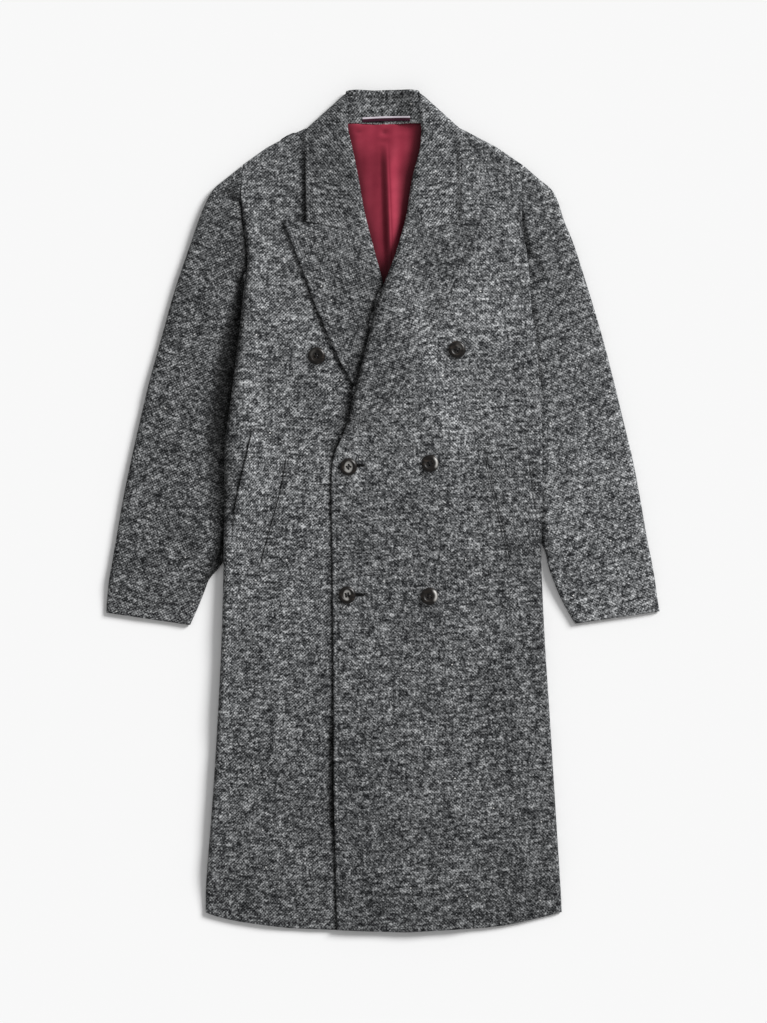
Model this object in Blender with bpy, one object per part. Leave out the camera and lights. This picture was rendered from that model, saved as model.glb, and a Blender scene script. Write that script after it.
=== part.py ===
"""Double-breasted wool overcoat, laid flat on its back.

Lengths in the tables are millimetres. The coat lies in the XY plane with its collar at +Y and
its underside on z = 0. Right and left are the wearer's: the right side lies at -X.
"""
import math

import bmesh
import bpy
from mathutils import Vector

MM = 0.001

# ---- driving dimensions -------------------------------------------------------------------
WOOL = 2.5              # wall of the coating cloth
LINING = 0.8            # wall of the lining
SEAM = 0.3              # gap where two pieces are sewn edge to edge
LAY = 0.8               # gap where one layer lies on another
LAPEL_LAY = 1.4         # the same under a lapel or a collar leaf
HOLLOW = 3.8            # room between the back and the fronts, for their linings and canvas
SLEEVE_HOLLOW = 3.0     # the same inside a sleeve, below its head
SLEEVE_FALL = (300.0, 450.0)    # heights between which a sleeve comes down to that
FOLD_RADIUS = 6.0       # how far in from a folded edge the cloth becomes level
ROLL_RADIUS = 5.6       # the same for the roll of collar and lapels
RIGHT_LIFT_FROM = 60.0  # height above which the right lapel's roll lifts its front
LEFT_LIFT_FROM = 300.0  # the same for the left lapel, whose lower part lies on the right front
COLLAR_FOLD = 10.0      # the same where the collar turns over the shoulders
NECK_TOP = 609.8        # height of the collar's roll behind the neck
NECK_SEAM = 563.0       # height of the back neck seam at the centre
FALL_LOW = 531.0        # height of the collar fall's lower edge behind the neck
FALL_SPREAD = 20.0      # how much higher that edge is where it meets the shoulders
FALL_MARGIN = 8.0       # how far past that edge the back stays level on it
COLLAR_HALF = 113.0     # half the width over the collar's front leaves
ROLL_LIFT = 1.6         # how much a lapel's roll lifts the front under it
ROLL_SPREAD = 54.0      # how far to each side of the roll that lift reaches
PLEAT_HEIGHT = 2.4      # centre pleat of the lining
PLEAT_X = 9.0           # where it lies across the lining
PLEAT_FLANKS = (15.0, 26.0)         # how wide it falls to its left and to its right
PLEAT_LOW = (330.0, 380.0)          # heights between which it rises out of the lining
PLEAT_HIGH = (518.0, 548.0)         # heights between which it is pressed flat again
WELT_WALL = 2.0
LOOP_WALL = 1.0
LOOP_START = -30.0      # where the hanger loop is sewn on, across the coat
LOOP_LENGTH = 69.0
LOOP_ROWS = (564.5, 569.0, 573.5)   # its two edges and its middle
LOOP_ARCH = 1.6         # how far it stands off the stand
GORGE_GAP = 1.7         # gap of the gorge seam along Y; half of that across its steep part
LAPEL_END = 46.0        # where the left front has come down from the right lapel's lower end
LAP_MARGIN = 14.0       # how far past a covered edge the cover stays level
LAP_SLOPE = 60.0        # how wide it then slopes down
RISE_SLOPE = 44.0       # how wide the back slopes up onto the collar fall
BUTTON_RADIUS = 14.5
BUTTON_HEIGHT = 4.4
BUTTON_FOOT = 0.72       # its flat underside, as a share of the radius
FLAT_STEP = 44.0        # spacing of the rows of the back and sleeves
FRONT_STEP = 36.0       # spacing of the rows of a front
LAPEL_STEP = 26.0       # spacing of the rows of lapels, collar and lining

LAYER = WOOL + LAY
FRONT_IN = WOOL + HOLLOW            # inner side of a front
FRONT_OUT = FRONT_IN + WOOL         # outer side of a front

# ---- outlines: one row for each section, from the hem up -----------------------------------
# side x, side y, front x, front y, tuck (how far the front stops short under its lapel's roll)
RIGHT_FRONT = (
    (-258, -581, 84, -607, 0),
    (-257, -535, 84, -545, 0),
    (-248, -419, 84, -425, 0),
    (-241, -303, 84, -305, 0),
    (-235, -187, 84, -187, 0),
    (-231, -71, 84, -71, 0),
    (-227, 30, 84, 30, 0),
    (-225, 100, 84, 86, 0),
    (-222, 126, 76, 112, 8),
    (-208, 240, 31, 237, 8),
    (-199, 332, 2, 330, 8),
    (-196, 361, -6, 361, 8),
    (-201, 405, -18, 403, 8),
    (-205, 459, -37, 452, 8),
    (-203, 502, -56, 480, 0),
    (-168, 527, -72, 500, 0),
    (-138, 542, -83, 519, 0),
    (-120, 545, -92, 532, 0),
    (-109, 548, -98, 542, 0),
)
LEFT_FRONT = (
    (258, -581, -67, -607, 0),
    (256, -545, -68, -545, 0),
    (248, -419, -72, -419, 0),
    (241, -303, -71, -303, 0),
    (233, -187, -71, -187, 0),
    (229, -71, -72, -71, 0),
    (231, 2, -72, 2, 0),
    (231, 72, -72, 68, 0),
    (231, 104, -62, 101, 8),
    (225, 211, -32, 208, 8),
    (215, 299, -9, 301, 8),
    (210, 366, 13, 361, 8),
    (202, 412, 29, 412, 8),
    (201, 472, 39, 457, 8),
    (203, 501, 56, 480, 0),
    (165, 527, 72, 500, 0),
    (135, 542, 83, 519, 0),
    (117, 546, 92, 532, 0),
    (106, 549, 97, 542, 0),
)
ARMPIT_ROW = 11         # row of both tables at the armpit
SHOULDER_ROW = 14       # row of both tables at the shoulder point

# outer x, outer y, inner x, inner y, from the shoulder point to the cuff
RIGHT_SLEEVE = (
    (-206, 499, -204.5, 495),
    (-226, 483, -205.3, 478),
    (-246, 466, -205.6, 459),
    (-258, 444, -204.8, 438),
    (-267, 422, -202.8, 410),
    (-277, 393, -200.2, 386),
    (-287, 364, -198, 364),
    (-297, 335, -203, 331),
    (-306, 306, -206, 300),
    (-322, 248, -213, 240),
    (-338, 190, -221, 182),
    (-352, 132, -227, 125),
    (-365, 74, -231, 68),
    (-377, 16, -233, 10),
    (-387, -42, -236, -44),
    (-392, -71, -246, -76),
    (-397, -100, -255, -102),
    (-400, -129, -267, -132),
    (-401, -147, -281, -165),
)
LEFT_SLEEVE = (
    (206, 498, 204, 494),
    (223, 483, 202.9, 478),
    (244, 466, 202.2, 459),
    (254, 447, 202.1, 438),
    (262, 422, 203.0, 414),
    (274, 393, 206.6, 391),
    (284, 364, 212, 364),
    (293, 335, 216, 332),
    (302, 306, 219.5, 300),
    (319, 248, 227, 242),
    (334, 190, 232, 182),
    (348, 132, 234.5, 125),
    (362, 74, 235, 68),
    (373, 16, 235, 12),
    (383, -42, 235.5, -42),
    (389, -71, 238, -73),
    (394, -100, 247, -101),
    (398, -129, 260, -131),
    (401, -145, 278, -163),
)
SLEEVE_ARMPIT_ROW = 6

# the roll of each lapel, from the gorge down: x, y
RIGHT_ROLL = ((-38, 457), (-28, 430), (-17, 399), (-9, 367), (-1, 343), (7, 306), (23, 260),
              (41, 214), (55, 176), (68, 134), (76, 112), (84, 90))
LEFT_ROLL = ((38, 457), (33, 427), (19, 379), (1, 328), (-12, 292), (-22, 248), (-33, 205),
             (-44, 161), (-50, 132), (-62, 103), (-71, 82))
# lapel sections: roll x, roll y, edge x, edge y
RIGHT_LAPEL = (
    (-38, 457, -144, 419),
    (-28, 430, -135, 398),
    (-17, 399, -126, 376),
    (-1, 343, -112, 339),
    (7, 306, -101, 306),
    (23, 260, -83, 262),
    (41, 214, -61, 215),
    (55, 176, -38, 177),
    (68, 134, 8, 128),
    (76, 112, 46, 108),
)
LEFT_LAPEL = (
    (38, 457, 144, 419),
    (33, 427, 137, 401),
    (19, 379, 126, 374),
    (1, 328, 107, 326),
    (-12, 292, 89, 290),
    (-22, 248, 70, 249),
    (-33, 205, 44, 207),
    (-44, 161, 14, 161),
    (-50, 132, -18, 124),
    (-61, 106, -44, 104),
)
# the gorge seam and the lapel's top edge, roll to peak: x, y (mirrored for the left side)
GORGE = ((-38, 457), (-52, 431), (-65, 408), (-91, 415), (-113, 419), (-144, 419))
GORGE_REACH = 110.0     # how far the gorge's bend still shows in the rows beside it
GORGE_FADE = 40.0       # how far the gap of the gorge still shifts the rows above it

# collar leaf sections from the gorge up: roll x, roll y, edge x, edge y (mirrored for the left)
COLLAR_LEAF = (
    (-38, 457, -113, 419),
    (-42, 486, -113, 446),
    (-48, 520, -113, 482),
    (-54, 556, -113, 516),
)
# where the collar turns over the shoulder: roll x, roll y, edge x, edge y
COLLAR_TURN = (-50, NECK_TOP, -115, 551)
COLLAR_UNDER = ((-24, NECK_TOP, -52, 535), (0, NECK_TOP, 0, FALL_LOW), (24, NECK_TOP, 52, 535))
# stand sections: roll side x, y and neck seam x, y
STAND_SIDE = ((-49, 481, -54, 484), (-55, 512, -72, 507), (-61, 546, -87, 530))
STAND_TURN = (-57, 595, -99, 557.5)
STAND_UNDER = ((-26, 603, -50, 563.4), (0, 603, 0, 564), (26, 603, 50, 563.4))

HEM = ((-258, -581), (-241, -587), (-223, -591.5), (-206, -595), (-171, -600), (-136, -604),
       (-84, -606), (-26, -608.5), (32, -610), (90, -607), (148, -603.5), (177, -600),
       (206, -594), (235, -587), (258, -581))
HEM_REACH = 160.0       # how far up the hem's curve still shows in the rows
NECK_REACH = 30.0       # how far down the neck seam's curve still shows in the rows of the back
NECK_HALF = 60.0        # where that seam turns up towards the shoulders
NECK_DROP = 2.0         # how much lower it is there than at the centre

# lining sections: left x, right x, y
LINING_ROWS = ((-18, 22, 312), (-34, 40, 345), (-48, 52, 385), (-58, 60, 430),
               (-66, 66, 490), (-66, 66, 530), (-60, 60, 561))

# pocket welts: outer x, outer y, inner x, inner y
RIGHT_WELT = ((-190, 121, -141, 86), (-204, 64, -155, 28), (-216, 8, -168, -30),
              (-221, -50, -181, -88))
LEFT_WELT = ((204, 118, 145, 89), (211, 64, 157, 34), (218, 8, 171, -26),
             (222, -50, 184, -85))

# buttons: x, y and the front they are sewn to
BUTTONS = ((-96, 225, "right"), (107, 234, "left"), (-51, 64, "left"),
           (68, 69, "left"), (-52, -121, "left"), (67, -123, "left"))

# soft folds: start x, y, end x, y, half width, height (below zero for a trough)
FRONT_FOLDS = (
    (-186, 440, -150, 300, 20, -1.2),
    (-160, 470, -96, 450, 26, 1.0),
    (-214, 170, -120, 150, 22, -0.9),
    (-205, -80, -150, -330, 26, 1.1),
    (-150, -180, -120, -560, 30, -1.0),
    (-20, -260, -40, -590, 30, 0.9),
    (186, 440, 150, 300, 20, -1.2),
    (120, 322, 205, 306, 18, -1.1),
    (128, 110, 152, -60, 18, -1.2),
    (100, -180, 150, -330, 24, -1.1),
    (60, -330, 110, -600, 34, 1.1),
    (190, -160, 215, -560, 26, 1.0),
)
SLEEVE_FOLDS = (
    (-262, 440, -214, 430, 14, -1.1),
    (-280, 330, -226, 250, 18, 0.9),
    (-340, 150, -250, 118, 16, -1.0),
    (-372, 20, -270, 60, 18, 0.9),
    (-385, -80, -290, -50, 16, -0.9),
    (262, 440, 214, 430, 14, -1.1),
    (280, 330, 230, 250, 18, 0.9),
    (338, 150, 250, 112, 16, -1.0),
    (370, 20, 270, 66, 18, 0.9),
    (384, -80, 290, -50, 16, -0.9),
)

COLOURS = {
    "wool": (0.105, 0.108, 0.114, 0.92),
    "lining": (0.21, 0.035, 0.055, 0.45),
    "loop": (0.06, 0.02, 0.03, 0.6),
    "horn": (0.045, 0.026, 0.018, 0.32),
}


# ---- small helpers --------------------------------------------------------------------------
def clamp(value, low=0.0, high=1.0):
    return max(low, min(high, value))


def ease(value):
    t = clamp(value)
    return t * t * (3.0 - 2.0 * t)


def dome(distance, radius):
    """0 at a folded edge, 1 from one radius in, round between."""
    t = clamp(distance / radius)
    return math.sqrt(max(0.0, 1.0 - (1.0 - t) ** 2))


def mixed(a, b, t):
    return tuple(p + (q - p) * t for p, q in zip(a, b))


def flow(rows, step, corners=()):
    """Rows on a smooth curve through the given rows, with sharp turns at the corner rows."""
    made = []
    last = len(rows) - 1
    for index in range(last):
        start, end = rows[index], rows[index + 1]
        before = rows[index - 1] if index > 0 and index not in corners else None
        after = rows[index + 2] if index + 1 < last and index + 1 not in corners else None
        count = max(1, round(math.dist(start[:2], end[:2]) / step))
        for part in range(count):
            t = part / count
            row = []
            for column, (p, q) in enumerate(zip(start, end)):
                leave = (q - before[column]) / 2.0 if before else q - p
                reach = (after[column] - p) / 2.0 if after else q - p
                row.append((2 * t ** 3 - 3 * t ** 2 + 1) * p + (t ** 3 - 2 * t ** 2 + t) * leave
                           + (3 * t ** 2 - 2 * t ** 3) * q + (t ** 3 - t ** 2) * reach)
            made.append(tuple(row))
    made.append(tuple(float(value) for value in rows[last]))
    return made


def read_line(line, place, key=1, value=0):
    """The value column of a line where its key column equals the place."""
    ordered = sorted(line, key=lambda point: point[key])
    if place <= ordered[0][key]:
        return ordered[0][value]
    for low, high in zip(ordered, ordered[1:]):
        if place <= high[key]:
            t = (place - low[key]) / (high[key] - low[key])
            return low[value] + (high[value] - low[value]) * t
    return ordered[-1][value]


def gap_to(line, x, y):
    """Distance in plan from a point to a line of points."""
    best = 1e9
    for (ax, ay), (bx, by) in zip(line, line[1:]):
        dx, dy = bx - ax, by - ay
        t = clamp(((x - ax) * dx + (y - ay) * dy) / max(1e-9, dx * dx + dy * dy))
        best = min(best, math.hypot(x - ax - t * dx, y - ay - t * dy))
    return best


def fold_height(folds, x, y):
    height = 0.0
    for ax, ay, bx, by, half, rise in folds:
        dx, dy = bx - ax, by - ay
        length = math.hypot(dx, dy)
        along = ((x - ax) * dx + (y - ay) * dy) / length ** 2
        off = abs((x - ax) * dy - (y - ay) * dx) / length
        ends = ease((along + 0.25) / 0.35) * ease((1.25 - along) / 0.35)
        height += rise * ends * math.exp(-(off / half) ** 2)
    return height


# ---- refined outlines -----------------------------------------------------------------------
RIGHT_ROWS = flow(RIGHT_FRONT, FRONT_STEP, (SHOULDER_ROW,))
LEFT_ROWS = flow(LEFT_FRONT, FRONT_STEP, (SHOULDER_ROW,))
RIGHT_SLEEVE_ROWS = flow(RIGHT_SLEEVE, FLAT_STEP, (SLEEVE_ARMPIT_ROW,))
LEFT_SLEEVE_ROWS = flow(LEFT_SLEEVE, FLAT_STEP, (SLEEVE_ARMPIT_ROW,))


def folded_lines(rows, armpit, shoulder):
    """The side edge below the armpit and the shoulder edge of one half of the body."""
    side = [row[:2] for row in rows if row[1] <= armpit[1] + 0.01]
    top = [row[:2] for row in rows if row[1] >= shoulder[1] - 0.01]
    return side, top


RIGHT_SIDE, RIGHT_SHOULDER = folded_lines(RIGHT_ROWS, RIGHT_FRONT[ARMPIT_ROW],
                                          RIGHT_FRONT[SHOULDER_ROW])
LEFT_SIDE, LEFT_SHOULDER = folded_lines(LEFT_ROWS, LEFT_FRONT[ARMPIT_ROW],
                                        LEFT_FRONT[SHOULDER_ROW])


def sleeve_lines(rows, armpit):
    outer = [row[:2] for row in rows]
    inner = [row[2:4] for row in rows if row[3] <= armpit[3] + 0.01]
    return outer, inner


RIGHT_OUTER, RIGHT_INNER = sleeve_lines(RIGHT_SLEEVE_ROWS, RIGHT_SLEEVE[SLEEVE_ARMPIT_ROW])
LEFT_OUTER, LEFT_INNER = sleeve_lines(LEFT_SLEEVE_ROWS, LEFT_SLEEVE[SLEEVE_ARMPIT_ROW])


# ---- heights --------------------------------------------------------------------------------
def neck_rise(x, y):
    """The back and all above it climb onto the collar fall behind the neck."""
    low = FALL_LOW + FALL_SPREAD * (x / COLLAR_HALF) ** 2
    return LAYER * ease((y - low + FALL_MARGIN + RISE_SLOPE) / RISE_SLOPE)


def roll_lift(line, x, y, start):
    """The front's rise under a lapel's roll, from a starting height up."""
    beside = abs(x - read_line(line, y)) / ROLL_SPREAD
    return ROLL_LIFT * ease(1.0 - beside) * ease((y - start) / LAP_SLOPE)


def right_out(x, y):
    """Outer side of the right front, before its edges are rounded."""
    lift = roll_lift(RIGHT_ROLL, x, y, RIGHT_LIFT_FROM)
    return FRONT_OUT + neck_rise(x, y) + lift + fold_height(FRONT_FOLDS, x, y)


def right_edge_x(y):
    return 84.0 if y < 90.0 else read_line(RIGHT_ROLL, y)


def lap_of_front(x, y):
    """1 where the left front lies on the right one, 0 well past its edge."""
    return ease((right_edge_x(y) + LAP_MARGIN + LAP_SLOPE - x) / LAP_SLOPE)


def lap_of_lapel(x, y):
    """1 where the left front also lies on the right lapel."""
    edge = read_line([row[2:4] for row in RIGHT_LAPEL], y)
    inside = ease((x - edge + LAP_MARGIN + LAP_SLOPE) / LAP_SLOPE)
    return inside * lap_of_front(x, y) * ease((y - LAPEL_END) / LAP_SLOPE)


def left_out(x, y):
    """Outer side of the left front, before its edges are rounded."""
    plain = FRONT_OUT + neck_rise(x, y) + fold_height(FRONT_FOLDS, x, y)
    lap = LAYER * lap_of_front(x, y) + (WOOL + LAPEL_LAY) * lap_of_lapel(x, y)
    below = roll_lift(RIGHT_ROLL, x, y, RIGHT_LIFT_FROM) * lap_of_front(x, y)
    own = roll_lift(LEFT_ROLL, x, y, LEFT_LIFT_FROM)
    return plain + lap + max(below, own)


def fold_skin(top, low, gap, side):
    """Outer height, inner height and inward lean of one cloth of a folded pair.

    The gap is the distance in from the fold; side is 1 for the upper cloth, -1 for the lower.
    """
    middle = (top + low) / 2.0 + side * SEAM / 2.0
    half = abs((top if side > 0 else low) - middle)
    level = dome(gap, FOLD_RADIUS)
    lean = WOOL * (1.0 - clamp(gap / FOLD_RADIUS))
    return middle + side * half * level, middle + side * (half - WOOL) * level, lean


def body_gap(x, y):
    """Distance in from the body's folded side and shoulder edges."""
    lines = (RIGHT_SIDE, RIGHT_SHOULDER) if x < 0 else (LEFT_SIDE, LEFT_SHOULDER)
    return min(gap_to(line, x, y) for line in lines)


def front_out(x, y):
    return right_out(x, y) if x < 0 else left_out(x, y)


def front_right_skin(x, y):
    return fold_skin(right_out(x, y), neck_rise(x, y), body_gap(x, y), 1)


def front_left_skin(x, y):
    return fold_skin(left_out(x, y), neck_rise(x, y), body_gap(x, y), 1)


def back_skin(x, y):
    return fold_skin(front_out(x, y), neck_rise(x, y), body_gap(x, y), -1)


def sleeve_out(x, y):
    """Outer side of a sleeve: as high as the body at its head, flatter below."""
    low, high = SLEEVE_FALL
    fall = (HOLLOW - SLEEVE_HOLLOW) * ease((high - y) / (high - low))
    return FRONT_OUT - fall + fold_height(SLEEVE_FOLDS, x, y)


def sleeve_skin(side):
    def skin(x, y):
        lines = (RIGHT_OUTER, RIGHT_INNER) if x < 0 else (LEFT_OUTER, LEFT_INNER)
        gap = min(gap_to(line, x, y) for line in lines)
        return fold_skin(sleeve_out(x, y), 0.0, gap, side)
    return skin


def turned_skin(front, line, x, y):
    """A lapel or leaf lying on a front and turned down at its roll to the front's inner side."""
    low = front - WOOL + SEAM
    rise = front + LAPEL_LAY + WOOL - low
    gap = gap_to(line, x, y)
    level = dome(gap, ROLL_RADIUS)
    lean = WOOL * (1.0 - clamp(gap / ROLL_RADIUS))
    return low + rise * level, low + (rise - WOOL) * level, lean


def facing_right_skin(x, y):
    return turned_skin(right_out(x, y), RIGHT_ROLL, x, y)


def facing_left_skin(x, y):
    return turned_skin(left_out(x, y), LEFT_ROLL, x, y)


# ---- making a wall of cloth -----------------------------------------------------------------
def material(name, slot):
    red, green, blue, rough = COLOURS[slot]
    made = bpy.data.materials.new(name + "_cloth")
    made.use_nodes = True
    shader = made.node_tree.nodes["Principled BSDF"]
    shader.inputs["Base Color"].default_value = (red, green, blue, 1.0)
    shader.inputs["Roughness"].default_value = rough
    shader.inputs["Metallic"].default_value = 0.0
    return made


def add_object(name, mesh, slot):
    made = bpy.data.objects.new(name, mesh)
    bpy.context.scene.collection.objects.link(made)
    mesh.materials.append(material(name, slot))
    return made


def even(near, far, middle):
    """Places along a row, 0 to 1: set distances in from each end, and even ones between."""
    def spread(length):
        shrink = min(1.0, length / (1.6 * (near[-1] + far[-1]) + 1e-6))
        places = [value * shrink / length for value in near]
        ends = [1.0 - value * shrink / length for value in reversed(far)]
        gap = (ends[0] - places[-1]) / middle
        return places + [places[-1] + gap * part for part in range(1, middle)] + ends
    return spread


def sew_wall(name, outer, inner, slot):
    """One closed wall of cloth between two grids of points."""
    form = bmesh.new()
    skins = [[[form.verts.new(Vector(point) * MM) for point in row] for row in grid]
             for grid in (outer, inner)]
    rows, columns = len(outer), len(outer[0])
    for layer, grid in enumerate(skins):
        for low, high in zip(grid, grid[1:]):
            for index in range(columns - 1):
                corners = (low[index], low[index + 1], high[index + 1], high[index])
                form.faces.new(corners if layer == 0 else corners[::-1])
    rim = [(0, column) for column in range(columns)]
    rim += [(row, columns - 1) for row in range(1, rows)]
    rim += [(rows - 1, column) for column in range(columns - 2, -1, -1)]
    rim += [(row, 0) for row in range(rows - 2, 0, -1)]
    for here, there in zip(rim, rim[1:] + rim[:1]):
        form.faces.new((skins[0][there[0]][there[1]], skins[0][here[0]][here[1]],
                        skins[1][here[0]][here[1]], skins[1][there[0]][there[1]]))
    if form.calc_volume(signed=True) < 0:
        bmesh.ops.reverse_faces(form, faces=form.faces[:])
    mesh = bpy.data.meshes.new(name)
    form.to_mesh(mesh)
    form.free()
    mesh.shade_smooth()
    mesh.set_sharp_from_angle(angle=math.radians(50.0))
    return add_object(name, mesh, slot)


def panel_wall(name, plan, skin, slot="wool"):
    """A wall whose inner skin leans in from the nearer end of each row."""
    outer, inner = [], []
    for line in plan:
        ahead = (Vector(line[-1]) - Vector(line[0])).normalized()
        over, under = [], []
        for index, (x, y) in enumerate(line):
            high, low, lean = skin(x, y)
            inward = ahead * (lean if 2 * index < len(line) else -lean)
            over.append((x, y, high))
            under.append((x + inward.x, y + inward.y, low))
        outer.append(over)
        inner.append(under)
    return sew_wall(name, outer, inner, slot)


def raised_wall(name, grid, wall, slot):
    """A wall that stands on a grid of points."""
    return sew_wall(name, [[(x, y, z + wall) for x, y, z in line] for line in grid], grid, slot)


def bend_of(curve, start, end):
    """How far a curved end row departs from the straight line between its ends."""
    def bend(t):
        x, y = mixed(start, end, t)
        return read_line(curve, x, key=0, value=1) - y
    return bend


def panel_plan(rows, spread, bends=()):
    """Plan of a panel: rows of (start x, y, end x, y, tuck), bent by (bend, row y, reach)."""
    grid = []
    for row in rows:
        start, end = row[:2], row[2:4]
        length = math.dist(start, end)
        tuck = row[4] if len(row) > 4 else 0.0
        end = mixed(start, end, 1.0 - tuck / length)
        line = []
        for t in spread(length - tuck):
            x, y = mixed(start, end, t)
            for bend, level, reach in bends:
                away = abs((row[1] + row[3]) / 2.0 - level)
                y += bend(t) * clamp(1.0 - away / reach)
            line.append((x, y))
        grid.append(line)
    return grid


GORGE_X = (-38, -38.2, -39.6, -44, -52, -65, -78, -91, -102, -113)     # they meet at the gorge
PEAK_X = (-128, -144)                        # columns of a lapel's peak past them
EDGE_IN = (0.0, 0.25, 1.5, FOLD_RADIUS)      # columns in from a folded edge
PLAIN_IN = (0.0,)


# ---- body -----------------------------------------------------------------------------------
def make_fronts():
    for name, rows, table, skin in (
            ("front_right", RIGHT_ROWS, RIGHT_FRONT, front_right_skin),
            ("front_left", LEFT_ROWS, LEFT_FRONT, front_left_skin)):
        hem = table[0]
        bend = (bend_of(HEM, hem[:2], hem[2:4]), (hem[1] + hem[3]) / 2.0, HEM_REACH)
        panel_wall(name, panel_plan(rows, even(EDGE_IN, PLAIN_IN, 14), (bend,)), skin)


def make_back():
    rows = []
    for right, left in zip(flow(RIGHT_FRONT, 1e6), flow(LEFT_FRONT, 1e6)):
        rows.append(right[:2] + left[:2])
    rows = flow(rows, FLAT_STEP, (SHOULDER_ROW,))
    hem, top = rows[0], rows[-1]
    neck = (top[:2], (-NECK_HALF, NECK_SEAM - NECK_DROP), (0, NECK_SEAM),
            (NECK_HALF, NECK_SEAM - NECK_DROP), top[2:4])
    bends = ((bend_of(HEM, hem[:2], hem[2:4]), hem[1], HEM_REACH),
             (bend_of(neck, top[:2], top[2:4]), (top[1] + top[3]) / 2.0, NECK_REACH))
    panel_wall("back", panel_plan(rows, even(EDGE_IN, EDGE_IN, 14), bends), back_skin)


def make_sleeves():
    for side, rows in (("right", RIGHT_SLEEVE_ROWS), ("left", LEFT_SLEEVE_ROWS)):
        for layer, up in (("top", 1), ("under", -1)):
            plan = panel_plan(rows, even(EDGE_IN, EDGE_IN, 6))
            panel_wall("sleeve_" + side + "_" + layer, plan, sleeve_skin(up))


# ---- lapels ---------------------------------------------------------------------------------
def mirrored(line):
    return tuple((-x, y) for x, y in line)


def make_facings():
    roll, peak = GORGE_X[0], PEAK_X[-1]
    places = [(x - roll) / (peak - roll) for x in GORGE_X + PEAK_X]
    for name, table, gorge, skin in (
            ("facing_right", RIGHT_LAPEL, GORGE, facing_right_skin),
            ("facing_left", LEFT_LAPEL, mirrored(GORGE), facing_left_skin)):
        rows = flow(table, LAPEL_STEP)
        top = table[0]
        bend = (bend_of(gorge, top[:2], top[2:4]), (top[1] + top[3]) / 2.0, GORGE_REACH)
        panel_wall(name, panel_plan(rows, lambda length: places, (bend,)), skin)


# ---- collar ---------------------------------------------------------------------------------
def flip(row):
    return (-row[0], row[1], -row[2], row[3])


def turn_rows(turn, steps, slants):
    """Rows beside a turn: each end shifted along its own edge, steps in from the turn."""
    (roll_dx, roll_dy), (edge_dx, edge_dy) = slants
    return [(turn[0] + roll_dx * step, turn[1] + roll_dy * step,
             turn[2] + edge_dx * step, turn[3] + edge_dy * step) for step in steps]


def band(leaf, turn, under, steps, top_slants, under_slants):
    """Rows of a band that turns over both shoulders: (row, layer, how level it is)."""
    rows = [(row, 1) for row in flow(leaf, LAPEL_STEP)]
    rows += [(row, 1) for row in turn_rows(turn, reversed(steps), top_slants)]
    rows.append((turn, 0))
    rows += [(row, -1) for row in turn_rows(turn, steps, under_slants)]
    half = rows + [(row, -1) for row in under[:1]]
    other = [(flip(row), layer) for row, layer in reversed(half)]
    return half + [(row, -1) for row in under[1:-1]] + other


COLLAR_ROLL = tuple(row[:2] for row in COLLAR_LEAF) + (COLLAR_TURN[:2],)
TURN_INWARD = Vector((0.666, -0.746))       # square to the right turn, towards the coat


def turned_over(skin, middle, turn_gap, radius):
    """A skin (outer, inner) brought to the middle height where its band turns over."""
    level = dome(turn_gap, radius)
    lean = WOOL * (1.0 - clamp(turn_gap / radius))
    return middle + (skin[0] - middle) * level, middle + (skin[1] - middle) * level, lean


def collar_skin(x, y, layer):
    """Outer height, inner height and inward lean of the collar before it turns over."""
    if layer >= 0:
        roll = COLLAR_ROLL if x < 0 else mirrored(COLLAR_ROLL)
        return turned_skin(front_out(x, y), roll, x, y)
    stand_top = LAYER + WOOL
    level = dome(NECK_TOP - y, ROLL_RADIUS)
    lean = WOOL * (1.0 - clamp((NECK_TOP - y) / ROLL_RADIUS))
    return stand_top * (1.0 - level), stand_top - (stand_top - WOOL) * level, lean


def stand_skin(x, y, layer):
    if layer >= 0:
        return front_out(x, y), front_out(x, y) - WOOL, 0.0
    return LAYER, LAYER + WOOL, 0.0


def make_band(name, rows, turn, places, skin, middle, radius, bend_rows):
    """A band of the collar that turns over both shoulders."""
    outer, inner = [], []
    for row, layer in rows:
        over, under = [], []
        for t in places:
            x, y = mixed(row[:2], row[2:4], t)
            if layer > 0:
                y += bend_rows(row, t)
            edge = turn if x < 0 else flip(turn)
            gap = 0.0 if layer == 0 else gap_to((edge[:2], edge[2:4]), x, y)
            high, low, roll_lean = skin(x, y, layer)
            high, low, lean = turned_over((high, low), middle(x, y), gap, radius)
            along = (Vector(row[2:4]) - Vector(row[:2])).normalized() * roll_lean
            inward = Vector((TURN_INWARD.x * (1 if x < 0 else -1), TURN_INWARD.y)) * lean
            over.append((x, y, high))
            under.append((x + along.x + inward.x, y + along.y + inward.y, low))
        outer.append(over)
        inner.append(under)
    sew_wall(name, outer, inner, "wool")


def make_collar():
    rows = band(COLLAR_LEAF, COLLAR_TURN, COLLAR_UNDER, (0.35, 2.6, COLLAR_FOLD),
                ((-0.1, -1.34), (0.0, -1.34)), ((1.5, 0.0), (1.2, -0.3)))
    top = COLLAR_LEAF[0]

    def gorge_bend(row, t):
        first = top if row[0] < 0 else flip(top)
        bend = bend_of(GORGE if row[0] < 0 else mirrored(GORGE), first[:2], first[2:4])
        away = (row[1] + row[3]) / 2.0 - (top[1] + top[3]) / 2.0
        return bend(t) * clamp(1.0 - away / GORGE_REACH) + GORGE_GAP * clamp(1.0 - away / GORGE_FADE)

    places = [(x - top[0]) / (top[2] - top[0]) for x in GORGE_X]
    make_band("collar", rows, COLLAR_TURN, places, collar_skin,
              lambda x, y: (front_out(x, y) + LAPEL_LAY + WOOL) / 2.0, COLLAR_FOLD, gorge_bend)


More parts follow.
